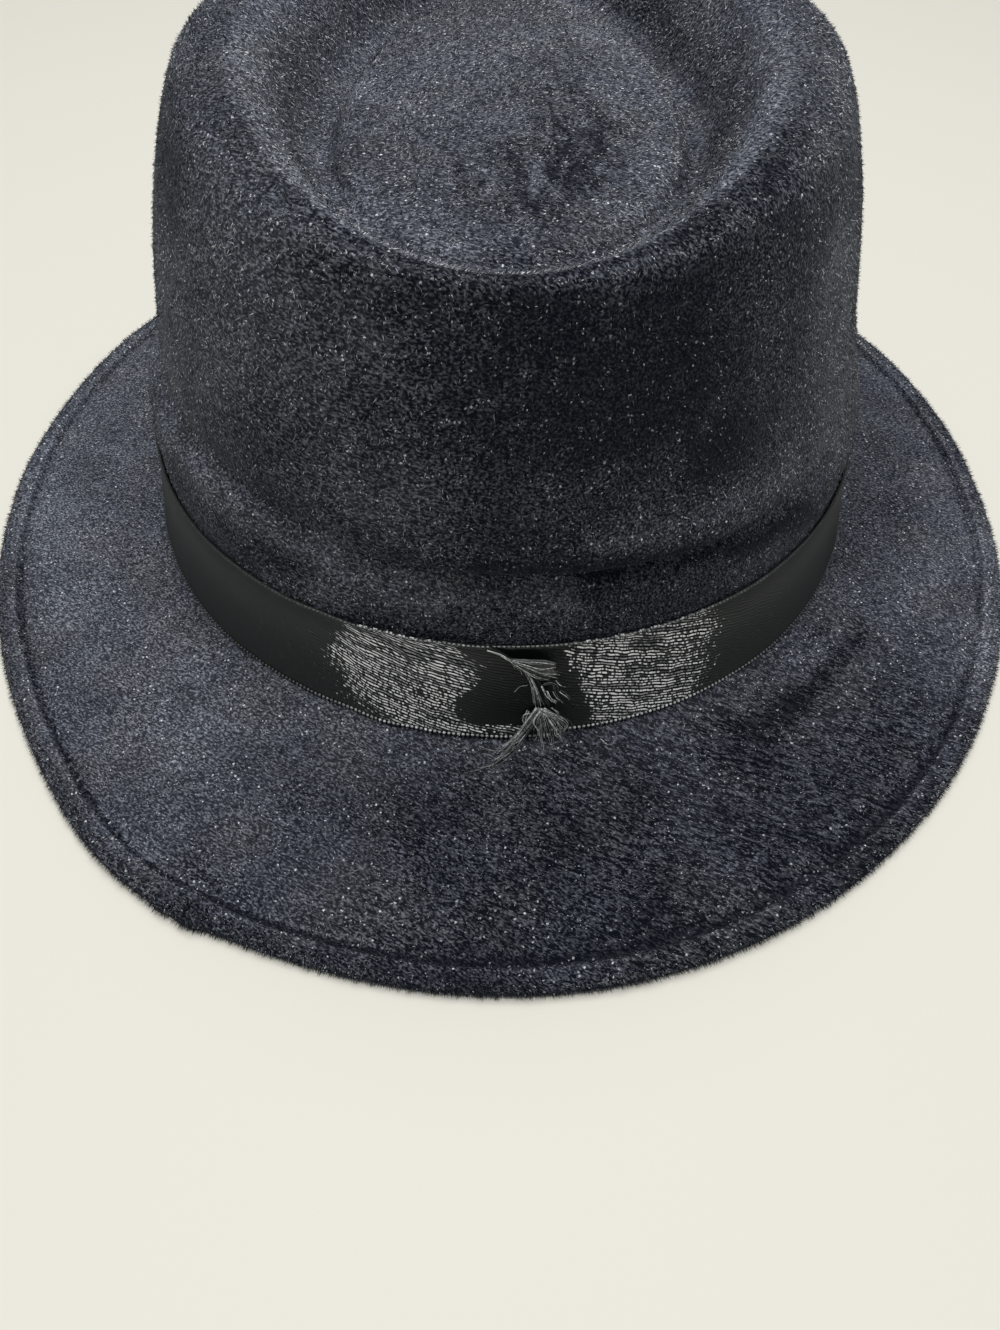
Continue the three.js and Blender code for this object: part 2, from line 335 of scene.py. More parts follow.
    def brim_rings(self) -> Array:
        """Rings of the brim's top from the groove in to the foot, a fillet out from the crown's."""
        foot = self.crown_rings()[0]
        foot[:Column.SIDE_UP] += self.foot_fillet
        foot[Column.SIDE_UP:Column.EGG] -= self.foot_fillet / 4
        rim = self.edge_ring(self.edge_width * 1.2, self.edge_thickness)
        rings = []
        for out, up in self.brim:
            ring = foot + (rim - foot) * out
            climb = foot[Column.SIDE_UP] - self.edge_thickness
            ring[Column.SIDE_UP:Column.EGG] = self.edge_thickness + climb * up
            rings.append(ring)
        return np.array(rings + [foot])

    def peak_ring(self) -> Array:
        """The top of the dent's island, as one ring of no reach."""
        last = self.crown[-1]
        shift = (self.head_front * last[5] - self.head_back * last[3]) / 2
        height = self.brim_rise + (self.crown_height - self.brim_rise) * self.island_peak
        return np.array([[0.0, -shift, shift, height, height, height, 0.0, 0.0, 0.0, 0.0]])

    def edge_rings(self) -> Array:
        """Rings of the rolled edge: under it, round its nose, over its bead and through the groove.

        The nose is a half circle of the edge's thickness. The bead's inner crest is the line of the turned
        hem, and the groove lies just inside it.
        """
        nose = self.edge_thickness / 2
        rings = [self.edge_ring(self.edge_width * 1.2, 0.0)]
        for angle in np.radians(np.linspace(-90, 90, 9)):
            rings.append(self.edge_ring(nose * (1 - math.cos(angle)), nose * (1 + math.sin(angle))))
        for inside, height in self.hem:
            rings.append(self.edge_ring(self.edge_width * inside, self.edge_thickness + height))
        return np.array(rings)

    def outer_rings(self) -> Array:
        """All key rings of the outer skin, from under the rolled edge to the island's peak."""
        return np.vstack([self.edge_rings(), self.brim_rings(), self.crown_rings(), self.peak_ring()])

    def inner_rings(self) -> Array:
        """The smooth rings that the inside skin follows, from beside the groove to the peak."""
        kept = np.array([row[-1] == 1 for row in self.crown])
        return np.vstack([self.brim_rings(), self.crown_rings()[kept], self.peak_ring()])

    def ring_key(self, section: Section) -> float:
        """Distance along the outer skin of one of its rings."""
        before = len(self.edge_rings()) + len(self.brim_rings())
        return float(self.keys(self.outer_rings())[before + section])

    def outline(self, points: Array) -> Array:
        """How far out points are, as a share of the brim's outline."""
        return np.hypot(points[..., 0] / self.brim_width, points[..., 1] / self.brim_length) * 2

    def place(self, rings: Array, angles: Array) -> Array:
        """Points of rings at angles.

        x is side times cosine, narrower in front by the egg share, and y is an ellipse between back and
        front. The point then moves out from the middle by the bulge and the ledge and in by the pinches, and
        its height goes from the side's to the back's or front's with the square of the sine.

        Args:
            rings: Ring columns in the last axis.
            angles: Degrees from +X towards +Y, one for each ring or spread over them.

        Returns:
            Points, in the last axis.
        """
        cosine, sine = np.cos(np.radians(angles)), np.sin(np.radians(angles))
        side, back, front, side_up, back_up, front_up, egg, bulge, pinch, ledge = np.moveaxis(rings, -1, 0)
        x = side * cosine * (1 - egg * sine)
        y = (front - back) / 2 + (front + back) / 2 * sine
        pinched = bell(turn(90 - self.pinch_angle, angles), self.pinch_spread)
        pinched = pinched + bell(turn(90 + self.pinch_angle, angles), self.pinch_spread)
        shifted = bell(turn(self.overhang_angle, angles), self.ledge_spread)
        shifted = shifted - bell(turn(self.shelf_angle, angles), self.ledge_spread)
        swell = bulge * bell(turn(self.bulge_angle, angles), self.bulge_spread)
        grow = 1 + (swell - pinch * pinched + ledge * shifted) / np.maximum(np.hypot(x, y), 1.0)
        z = side_up * cosine**2 + np.where(sine < 0, back_up, front_up) * sine**2
        return np.stack([x * grow, y * grow, z], axis=-1)

    def keys(self, rings: Array) -> Array:
        """How far along the skin each ring is: the mean distance between rings, added up."""
        points = self.place(rings[:, None], np.arange(0.0, FULL_TURN, 15.0)[None])
        steps = np.linalg.norm(np.diff(points, axis=0), axis=-1).mean(axis=1)
        return np.concatenate([[0.0], np.cumsum(steps)])

    def skin(self, rings: Array, pitch: Array, angles: Array) -> tuple[Array, Array]:
        """A fine grid through key rings.

        Args:
            rings: Key rings.
            pitch: Distance wanted between rows, in each gap between two rings.
            angles: Columns, in degrees.

        Returns:
            Points of the grid, and each row's distance along the skin.
        """
        keys = self.keys(rings)
        counts = np.maximum(1, np.round(np.diff(keys) / pitch)).astype(int)
        parts = [np.linspace(keys[i], keys[i + 1], n, endpoint=False) for i, n in enumerate(counts)]
        where = np.concatenate(parts + [keys[-1:]])
        return self.place(spline(keys, rings, where)[:, None], angles[None]), where

    def crown_point(self, heights: Array, angles: Array, outward: Array) -> Array:
        """Points over the crown's outer skin, below its ridge.

        Args:
            heights: Height of each point.
            angles: Direction of each point, in degrees.
            outward: How far each point stands off the skin.

        Returns:
            The points, in the shape of the heights.
        """
        rings = self.crown_rings()[:self.wall_rings]
        keys = self.keys(rings)
        table = spline(keys, rings, np.linspace(0.0, keys[-1], 600))
        ups = table[:, Column.SIDE_UP]
        picked = np.stack([np.interp(heights, ups, table[:, column]) for column in Column], axis=-1)
        picked[..., :Column.SIDE_UP] += outward[..., None]
        return self.place(picked, angles)


@dataclass
class Photograph:
    """Where the camera stands, as the photograph was taken: its frame is 1000 by 1330."""

    focal: float = 1000.0
    width: float = 1000.0
    height: float = 1330.0
    place: tuple = (0.0, -220.3, 188.9)
    pitch: float = 51.04
    axis_x: float = 498.3
    roll: float = 1.2

    def axes(self) -> tuple:
        """Camera's right, up and forward directions, turned by its roll."""
        pitch, roll = math.radians(self.pitch), math.radians(self.roll)
        right = np.array([1.0, 0.0, 0.0])
        upward = np.array([0.0, math.sin(pitch), math.cos(pitch)])
        forward = np.array([0.0, math.cos(pitch), -math.sin(pitch)])
        turned = right * math.cos(roll) + upward * math.sin(roll)
        return turned, upward * math.cos(roll) - right * math.sin(roll), forward

    def ray(self, x: float, y: float) -> Vector:
        """Direction in which the camera sees a point of the photograph."""
        right, upward, forward = self.axes()
        sideways = (x - self.axis_x) / self.focal
        down = (y - self.height / 2) / self.focal
        return Vector(unit(forward + right * sideways - upward * down))

    def seen(self, points: Array) -> Array:
        """Where points of the hat come in the photograph's frame: x and y in the last axis."""
        right, upward, forward = self.axes()
        away = points - np.array(self.place)
        depth = away @ forward
        x = self.axis_x + self.focal * (away @ right) / depth
        return np.stack([x, self.height / 2 - self.focal * (away @ upward) / depth], axis=-1)

    def make_camera(self) -> Piece:
        """Makes the camera, with the photograph's long side as the sensor's."""
        data = bpy.data.cameras.new("camera")
        data.sensor_width = 36.0
        data.lens = data.sensor_width * self.focal / self.height
        data.shift_x = (self.width / 2 - self.axis_x) / self.height
        data.clip_start = 0.01
        camera = bpy.data.objects.new("camera", data)
        right, upward, forward = self.axes()
        turned = Matrix(np.array([right, upward, -forward]).T.tolist()).to_4x4()
        camera.matrix_world = Matrix.Translation(Vector(self.place) * MM) @ turned
        bpy.context.scene.collection.objects.link(camera)
        bpy.context.scene.camera = camera
        return camera


class Nodes:
    """A node tree that is filled by short calls."""

    def __init__(self, tree: bpy.types.NodeTree) -> None:
        """Keeps the tree and empties it."""
        self.tree = tree
        tree.nodes.clear()

    def add(self, kind: str, *values: object, **settings: object) -> bpy.types.Node:
        """Adds a node of a kind, sets its properties and feeds values to its first inputs."""
        node = self.tree.nodes.new(kind)
        for name, value in settings.items():
            setattr(node, name, value)
        for target, value in zip(node.inputs, values):
            self.feed(target, value)
        return node

    def feed(self, target: Socket, value: object) -> None:
        """Gives a socket a link, where the value is a socket, or else a constant."""
        if isinstance(value, Socket):
            self.tree.links.new(value, target)
        else:
            target.default_value = value

    def feed_all(self, node: bpy.types.Node, **values: object) -> None:
        """Feeds a node's inputs by their names."""
        for name, value in values.items():
            self.feed(node.inputs[name], value)

    def math(self, operation: str, *values: object) -> Socket:
        """One step of arithmetic, and the socket of its result."""
        return self.add("ShaderNodeMath", *values, operation=operation).outputs[0]

    def product(self, *values: object) -> Socket:
        """All the values multiplied."""
        total = values[0]
        for value in values[1:]:
            total = self.math("MULTIPLY", total, value)
        return total

    def span(self, value: object, low: float, high: float, start: float = 0.0, end: float = 1.0) -> Socket:
        """A value moved from one range to another, smoothly and held at the ends."""
        limits = (value, low, high, start, end)
        return self.add("ShaderNodeMapRange", *limits, interpolation_type="SMOOTHSTEP").outputs[0]

    def blend(self, share: object, first: object, second: object) -> Socket:
        """A colour part of the way from one to another."""
        node = self.add("ShaderNodeMix", share, data_type="RGBA")
        self.feed(node.inputs[6], first)
        self.feed(node.inputs[7], second)
        return node.outputs[2]

    def noise(self, vector: object, scale: float, detail: float = 2.0, bend: float = 0.0) -> bpy.types.Node:
        """A node of cloudy noise about a half."""
        node = self.add("ShaderNodeTexNoise")
        self.feed_all(node, Vector=vector, Scale=scale, Detail=detail, Distortion=bend)
        return node

    def cloudy(self, vector: object, scale: float, detail: float = 2.0, bend: float = 0.0) -> Socket:
        """The value of cloudy noise."""
        return self.noise(vector, scale, detail, bend).outputs["Fac"]

    def centred(self, value: object) -> Socket:
        """A value less a half, so that noise is about zero."""
        return self.math("SUBTRACT", value, 0.5)

    def mapped(self, vector: object, turned: float, scale: tuple) -> Socket:
        """A vector turned by degrees about Z and then stretched."""
        angles = (0.0, 0.0, math.radians(turned))
        turn_node = self.add("ShaderNodeMapping", vector_type="TEXTURE")
        self.feed_all(turn_node, Vector=vector, Rotation=angles)
        size_node = self.add("ShaderNodeMapping")
        self.feed_all(size_node, Vector=turn_node.outputs[0], Scale=scale)
        return size_node.outputs[0]

    def attribute(self, name: str) -> Socket:
        """The number that a named attribute holds."""
        return self.add("ShaderNodeAttribute", attribute_name=name).outputs["Fac"]

    def bump(self, height: object, distance: float, strength: float = 1.0) -> Socket:
        """A normal that follows a height, over a distance in metres."""
        node = self.add("ShaderNodeBump")
        self.feed_all(node, Height=height, Distance=distance, Strength=strength)
        return node.outputs[0]


def new_material(name: str, surface: dict) -> tuple:
    """Makes a material of one shader.

    Args:
        name: Name of the material.
        surface: Constants of the shader, by the names of its inputs.

    Returns:
        The material, its nodes and its shader.
    """
    material = bpy.data.materials.new(name)
    material.use_nodes = True
    nodes = Nodes(material.node_tree)
    shader = nodes.add("ShaderNodeBsdfPrincipled")
    nodes.add("ShaderNodeOutputMaterial", shader.outputs[0])
    nodes.feed_all(shader, **surface)
    return material, nodes, shader


def pile_group() -> bpy.types.NodeTree:
    """Tone and height of short velour pile: fine strokes, painted glints, soft patches and combed rows."""
    group = bpy.data.node_groups.new("velour pile", "ShaderNodeTree")
    group.interface.new_socket(name="Vector", in_out="INPUT", socket_type="NodeSocketVector")
    sockets = [("Comb", "INPUT")] + [(label, "OUTPUT") for label in ("Tone", "Glint", "Patch", "Height")]
    for label, way in sockets:
        group.interface.new_socket(name=label, in_out=way, socket_type="NodeSocketFloat")
    nodes = Nodes(group)
    given = nodes.add("NodeGroupInput")
    vector = given.outputs["Vector"]
    strokes = nodes.cloudy(nodes.mapped(vector, -30, (0.6, 1.2, 1.0)), 2200.0, 2.0, 0.3)
    coarse = nodes.cloudy(vector, 900.0)
    rows = nodes.cloudy(nodes.mapped(vector, -20, (0.28, 1.0, 0.9)), 1250.0, 1.5, 0.6)
    shake = nodes.noise(vector, 2600.0).outputs["Color"]
    shift = (0.0007, 0.0007, 0.0007)
    bent = nodes.add("ShaderNodeVectorMath", shake, shift, vector, operation="MULTIPLY_ADD")
    # Painted glints: small bright specks in random cells of a shaken lattice.
    cells = nodes.add("ShaderNodeTexVoronoi", feature="F1")
    nodes.feed_all(cells, Vector=bent.outputs[0], Scale=1050.0)
    parts = nodes.add("ShaderNodeSeparateColor", cells.outputs["Color"]).outputs
    reach = nodes.math("MULTIPLY_ADD", parts[2], 0.22, 0.10)
    tip = nodes.span(nodes.math("DIVIDE", cells.outputs["Distance"], reach), 0.5, 1.1, 1.0, 0.0)
    chosen = nodes.math("GREATER_THAN", parts[0], 0.60)
    glint = nodes.product(chosen, tip, nodes.math("POWER", parts[1], 1.1))
    combed = nodes.product(nodes.span(rows, 0.40, 0.56, 1.0, -0.25), given.outputs["Comb"])
    fine = nodes.math("POWER", nodes.span(strokes, 0.34, 0.78), 1.6)
    tone = nodes.math("MULTIPLY_ADD", nodes.centred(coarse), 0.6, nodes.product(fine, 1.25))
    tone = nodes.math("MAXIMUM", nodes.math("SUBTRACT", tone, nodes.product(combed, 0.44)), 0.0)
    height = nodes.math("SUBTRACT", nodes.math("MULTIPLY_ADD", coarse, 0.8, strokes), combed)
    nodes.add("NodeGroupOutput", tone, glint, nodes.cloudy(vector, 70.0, 3.0), height)
    return group


@dataclass(frozen=True)
class VelourFinish:
    """Dark navy velour: near-black between the fibres and grey-blue at their tips."""

    deep: tuple = (0.0020, 0.0030, 0.0080, 1.0)
    lit: tuple = (0.388, 0.422, 0.500, 1.0)
    lit_warm: tuple = (0.402, 0.424, 0.474, 1.0)
    # Colours of the painted glints, on the pile and on the bright fibres.
    glint: tuple = (0.86, 0.88, 0.92, 1.0)
    fibre_glint: tuple = (0.92, 0.94, 0.98, 1.0)
    brightest: float = 1.7
    backing: tuple = (0.020, 0.021, 0.024, 1.0)
    backing_dark: tuple = (0.012, 0.012, 0.015, 1.0)
    sheen: float = 0.085
    sheen_roughness: float = 0.42
    sheen_tint: tuple = (0.62, 0.68, 0.80, 1.0)
    even_tone: float = 0.32

    def surface(self) -> dict:
        """What the shader has the same all over."""
        return {
            "Roughness": 0.85,
            "Specular IOR Level": 0.10,
            "Sheen Weight": self.sheen,
            "Sheen Roughness": self.sheen_roughness,
            "Sheen Tint": self.sheen_tint,
        }

    def cloth(self, group: bpy.types.NodeTree) -> bpy.types.Material:
        """The shell's material: pile outside, plain felt where the pile attribute is 0."""
        material, nodes, shader = new_material("velour", self.surface())
        vector = nodes.add("ShaderNodeTexCoord").outputs["Object"]
        pile = nodes.add("ShaderNodeGroup", node_tree=group)
        nodes.feed_all(pile, Vector=vector, Comb=nodes.attribute("comb"))
        tone, glint, patch, height = pile.outputs
        # The attribute read here holds the pile's brushed tone with painted shade and painted highlights.
        nap_and_painted_light = nodes.math("DIVIDE", nodes.attribute("nap_and_painted_light"), self.brightest)
        even = nodes.span(nap_and_painted_light, 0.28, 0.55, 0.0, 0.26)
        share = nodes.math("MULTIPLY_ADD", even, nodes.math("SUBTRACT", self.even_tone, tone), tone)
        share = nodes.product(share, nodes.span(patch, 0.25, 0.75, 0.80, 1.20))
        lit = nodes.blend(nodes.span(nodes.cloudy(vector, 55.0), 0.35, 0.62), self.lit_warm, self.lit)
        # Painted light and shade: the colour goes towards deep where that tone is low.
        colour = nodes.blend(nap_and_painted_light, self.deep, nodes.blend(share, self.deep, lit))
        # Painted glints, kept bright even where the pile is dark.
        sparkle = nodes.product(glint, nodes.span(nap_and_painted_light, 0.05, 0.6, 0.42, 1.15))
        colour = nodes.blend(sparkle, colour, self.glint)
        felt = nodes.blend(nodes.cloudy(vector, 900.0, 3.0), self.backing_dark, self.backing)
        nodes.feed(shader.inputs["Base Color"], nodes.blend(nodes.attribute("pile"), felt, colour))
        nodes.feed(shader.inputs["Normal"], nodes.bump(height, 0.00030, 0.8))
        return material

    def fibre(self) -> bpy.types.Material:
        """The material of the loose pile fibres, dark to a painted glint by their tone."""
        material, nodes, shader = new_material("velour_fibre", self.surface())
        colour = nodes.blend(nodes.attribute("tone"), self.deep, self.fibre_glint)
        nodes.feed(shader.inputs["Base Color"], colour)
        return material


@dataclass(frozen=True)
class SatinFinish:
    """Black satin: matte olive-black with painted shade, and painted pale highlights where the floats of the
    weave would catch the light.
    """

    black: tuple = (0.0400, 0.0435, 0.0414, 1.0)
    # Painted shade: what the satin darkens to at the lap end, on the lower flanks of the floats and in the
    # gaps of the highlight patches.
    gloom: tuple = (0.0030, 0.0046, 0.0048, 1.0)
    # The colour of the painted highlights on the floats.
    painted_highlight: tuple = (0.96, 0.96, 0.94, 1.0)
    pitch: float = 0.00087
    slant: float = 0.27

    def material(self) -> bpy.types.Material:
        """Satin weave on the ribbon's own map, in metres along and across it.

        Slanting lines of floats a pitch apart, each broken into dashes. Where the shine attribute allows,
        the upper flank of each float gets the painted highlight colour, and the patch ends raggedly, thread
        by thread.
        Painted shade darkens the lower flanks, the gaps in the patches and the places the gloom attribute
        marks.
        """
        material, nodes, shader = new_material("satin", {"Specular IOR Level": 0.6, "Anisotropic": 0.7})
        tangent = nodes.add("ShaderNodeTangent", direction_type="UV_MAP", uv_map="weave")
        nodes.feed(shader.inputs["Tangent"], tangent.outputs[0])
        cloth = nodes.add("ShaderNodeUVMap", uv_map="weave").outputs[0]
        length, width, _ = nodes.add("ShaderNodeSeparateXYZ", cloth).outputs
        line = nodes.math("DIVIDE", width, self.pitch)
        line = nodes.math("MULTIPLY_ADD", length, self.slant / self.pitch, line)
        line = nodes.math("MULTIPLY_ADD", nodes.centred(nodes.cloudy(cloth, 260.0, 1.0)), 1.6, line)
        phase = nodes.product(line, 2 * math.pi)
        flank = nodes.math("COSINE", phase)
        index = nodes.math("FLOOR", nodes.math("ADD", line, 0.25))
        broken = []
        for stretch, step, detail in ((760.0, 5.3, 1.0), (1700.0, 3.7, 0.0), (90.0, 9.1, 1.0)):
            parts = (nodes.product(length, stretch), nodes.product(index, step))
            place = nodes.add("ShaderNodeCombineXYZ", *parts)
            broken.append(nodes.cloudy(place.outputs[0], 1.0, detail))
        dash, fleck, thread = broken
        shine = nodes.attribute("shine")
        ragged = nodes.math("MULTIPLY_ADD", nodes.centred(dash), 1.3, shine)
        ragged = nodes.math("MULTIPLY_ADD", nodes.centred(fleck), 0.9, ragged)
        lit = nodes.product(
            nodes.span(ragged, 0.30, 0.80),
            nodes.span(flank, 0.10, -0.40),
            nodes.span(thread, 0.37, 0.59, 0.18, 1.2),
            nodes.span(fleck, 0.39, 0.58, 0.02, 1.75),
            nodes.span(shine, 0.0, 0.12),
        )
        # Painted shade: towards gloom by its attribute, on the lower flank of each float, and in the gaps of
        # the highlight patches.
        dull_and_shaded = nodes.blend(nodes.attribute("gloom"), self.black, self.gloom)
        dull_and_shaded = nodes.blend(nodes.span(flank, 0.6, -0.6, 0.25, 0.0), dull_and_shaded, self.gloom)
        dull_and_shaded = nodes.blend(nodes.span(ragged, 0.35, 0.9, 0.0, 0.8), dull_and_shaded, self.gloom)
        nodes.feed(shader.inputs["Base Color"], nodes.blend(lit, dull_and_shaded, self.painted_highlight))
        nodes.feed(shader.inputs["Roughness"], nodes.span(lit, 0.0, 0.6, 0.50, 0.60))
        raised = nodes.product(nodes.math("SINE", phase), nodes.span(ragged, 0.2, 0.7, 0.05, 1.0))
        nodes.feed(shader.inputs["Normal"], nodes.bump(raised, 0.00022))
        return material


@dataclass(frozen=True)
class ThreadFinish:
    """Loose threads, folded tip and selvage: dark to near white by their tone attribute, which on the selvage
    holds painted highlights.
    """

    dark: tuple = (0.010, 0.0105, 0.0105, 1.0)
    bright: tuple = (0.89, 0.92, 0.90, 1.0)

    def material(self, name: str) -> bpy.types.Material:
        """Threads with fine streaks along them."""
        material, nodes, shader = new_material(name, {"Roughness": 0.5, "Specular IOR Level": 0.7})
        vector = nodes.add("ShaderNodeTexCoord").outputs["Object"]
        mottle = nodes.span(nodes.cloudy(vector, 1700.0), 0.3, 0.7, 0.35, 1.15)
        share = nodes.product(nodes.attribute("tone"), mottle)
        nodes.feed(shader.inputs["Base Color"], nodes.blend(share, self.dark, self.bright))
        return material


def stroke(seen: Array, path: tuple, spread: float) -> Array:
    """Strength of a brush stroke, 1 on its path and dying away as a bell curve of the distance to it.

    Args:
        seen: Places in the photograph's 1000 by 1330 frame.
        path: Points of the stroke in the same frame.
        spread: How far off the path it reaches.

    Returns:
        A value from 0 to 1 for each place.
    """
    points = np.array(path, dtype=float)
    start, step = points[:-1], np.diff(points, axis=0)
    length = np.maximum(np.sum(step * step, axis=-1), 1e-9)
    away = seen[..., None, :] - start
    share = np.clip(np.sum(away * step, axis=-1) / length, 0.0, 1.0)
    return bell(np.linalg.norm(away - share[..., None] * step, axis=-1).min(axis=-1), spread)


# Strokes of painted highlight on the satin, on the lapped end of the ribbon (true) and on the ribbon under it
# (false): path, spread and strength.
SHINE_MARKS = {
    True: (
        (((350, 650), (400, 662), (440, 674), (468, 684)), 14, 1.0),
        (((360, 634), (400, 640), (450, 650)), 9, 0.6),
        (((368, 684), (400, 708), (440, 720)), 13, 1.1),
        (((430, 722), (480, 728), (518, 729)), 4, 1.1),
        (((484, 704), (510, 702)), 14, -1.5),
    ),
    False: (
        (((585, 656), (620, 648), (668, 634), (700, 624)), 13, 0.85),
        (((588, 690), (640, 680), (692, 664)), 12, 0.75),
        (((600, 716), (640, 704), (680, 684)), 9, 0.95),
        (((566, 704), (572, 712)), 13, -1.0),
        (((545, 664), (556, 690)), 10, -1.0),
    ),
}
# Where the satin gets a painted soft sheen, in the same form without a strength.
PALE_MARK = (((705, 650), (775, 600)), 38)

# Strokes of brushed pile and of painted light and shade, such as a painted shadow under the ledge, painted
# highlights along the crest and painted sheen at the crown's sides: path, spread, what the tone gains, and
# how much of that is mottled.
NAP_AND_LIGHT_MARKS = {
    Part.TOP: (
        (((585, 100), (575, 140), (555, 180), (535, 210)), 34, -0.34, 2.2),
        (((655, 20), (692, 80), (700, 150), (680, 200)), 15, -0.22, 0.8),
        (((345, 50), (326, 90), (328, 135)), 12, -0.16, 0.8),
        (((440, 180), (540, 165), (615, 165)), 24, -0.22, 2.4),
        (((600, 60), (640, 100), (650, 160)), 24, 0.36, 0.3),
        (((265, 70), (290, 110), (320, 150)), 24, 0.06, 1.5),
        (((232, 50), (240, 140), (270, 200)), 24, 0.40, 0.3),
        (((285, 170), (335, 211), (400, 240), (460, 256)), 14, 0.40, 0.2),
        (((690, 130), (665, 195), (640, 225)), 16, 0.22, 0.2),
        (((785, 30), (790, 90), (780, 150)), 18, 0.20, 0.3),
        (((290, 30), (335, 60)), 38, 0.45, 0.5),
        (((720, 20), (790, 40)), 34, 0.30, 0.5),
        (((470, 70), (560, 30)), 50, 0.12, 0.4),
        (((480, 40), (540, 90), (520, 130)), 40, -0.10, 1.5),
    ),
    Part.WALL: (
        (((290, 215), (340, 250)), 20, -0.10, 1.2),
        (((770, 200), (735, 245)), 26, -0.16, 1.0),
        (((640, 300), (520, 315)), 24, -0.10, 1.0),
        (((735, 270), (725, 310)), 26, 0.12, 0.8),
        (((510, 375), (600, 390), (700, 350)), 46, -0.32, 1.2),
        (((380, 380), (500, 430), (690, 450)), 34, -0.12, 1.2),
        (((215, 225), (222, 300), (218, 360)), 34, 0.42, 0.4),
        (((160, 250), (158, 330), (166, 420)), 12, 0.24, 0.3),
        (((775, 130), (782, 215)), 20, -0.24, 0.8),
        (((370, 290), (375, 345)), 24, 0.26, 0.8),
        (((846, 240), (836, 340), (826, 450)), 18, 0.54, 0.4),
        (((780, 410), (790, 450)), 20, 0.22, 0.6),
        (((270, 250), (320, 400), (350, 490)), 48, 0.44, 0.5),
        (((165, 430), (200, 480), (240, 515), (300, 545), (330, 556)), 8, 0.75, 0.6),
        (((330, 588), (450, 600), (560, 600)), 18, 0.56, 0.9),
        (((480, 566), (580, 568)), 5, -0.30, 0.6),
        (((600, 542), (680, 526), (750, 496), (795, 468)), 13, 0.42, 0.8),
        (((700, 480), (760, 455)), 18, -0.10, 1.2),
        (((590, 574), (660, 566), (740, 544), (805, 512)), 8, -0.56, 0.4),
        (((735, 576), (800, 540)), 8, 0.26, 0.9),
        (((168, 90), (168, 230)), 12, -0.22, 0.4),
    ),
    Part.BRIM: (
        (((856, 640), (838, 660), (812, 688), (790, 706)), 7, -0.85, 0.7),
        (((760, 650), (820, 630)), 14, -0.25, 1.0),
        (((790, 706), (740, 740)), 9, -0.45, 0.8),
        (((125, 390), (80, 480), (75, 560), (105, 650), (175, 740)), 55, 0.46, 0.3),
        (((170, 610), (230, 680), (330, 735), (400, 750)), 30, 0.30, 0.5),
        (((440, 880), (600, 880), (740, 850)), 60, -0.40, 0.5),
        (((760, 740), (840, 770), (830, 850)), 45, -0.34, 0.6),
        (((190, 890), (330, 945), (480, 965), (700, 930)), 24, -0.34, 0.4),
        (((880, 420), (890, 500), (870, 560)), 45, -0.20, 0.4),
        (((320, 790), (480, 800), (560, 790)), 40, -0.22, 0.6),
        (((925, 610), (940, 680)), 22, 0.24, 0.6),
        (((985, 540), (984, 700)), 12, 0.40, 0.3),
        (((900, 700), (880, 800)), 36, -0.26, 0.5),
    ),
}

# Painted highlights and painted shade that run with a ring: highlights along the crest and the island's edge,
# shade beside the island and in the hem's groove, and light lines beside that groove. The columns are the
# ring, how far past it and how wide in millimetres, the direction they are strongest in and their reach from
# there in degrees, and what the tone gains.
RING_LINES = (
    (Section.RIDGE, 2.2, 1.7, BACK, 44.0, 0.44),
    (Section.RIDGE, 3.4, 2.4, 228.0, 26.0, 0.30),
    (Section.ISLAND_EDGE, 0.6, 0.9, 325.0, 42.0, 0.34),
    (Section.ISLAND_EDGE, 0.6, 0.9, 205.0, 40.0, 0.24),
    (Section.ISLAND_EDGE, -2.4, 1.7, 325.0, 42.0, -0.24),
    (Section.ISLAND_EDGE, -2.4, 1.7, 205.0, 40.0, -0.14),
    (Section.EDGE_GROOVE, 0.0, 0.9, 235.0, 60.0, -0.32),
    (Section.EDGE_GROOVE, 0.0, 0.9, 235.0, ALL_ROUND, -0.48),
    (Section.EDGE_GROOVE, -1.5, 0.45, 235.0, 60.0, 0.18),
    (Section.EDGE_GROOVE, -1.5, 0.45, 235.0, ALL_ROUND, 0.27),
    (Section.EDGE_GROOVE, 1.2, 0.40, 249.0, 12.0, 0.70),
)
# Painted shade in bands beside a ring, under the crest at the back and over the rolled edge: the ring, the
# two ends of each soft edge, the direction, its reach, and the gain.
RING_BANDS = (
    (Section.RIDGE, (0.2, -1.6), (-30.0, -8.0), BACK, 32.0, -0.12),
    (Section.RIDGE, (0.9, -0.1), (-9.0, -3.0), BACK, 38.0, -0.46),
    (Section.EDGE_GROOVE, (-2.2, -4.0), (-99.0, -98.0), BACK, ALL_ROUND, -0.25),
)


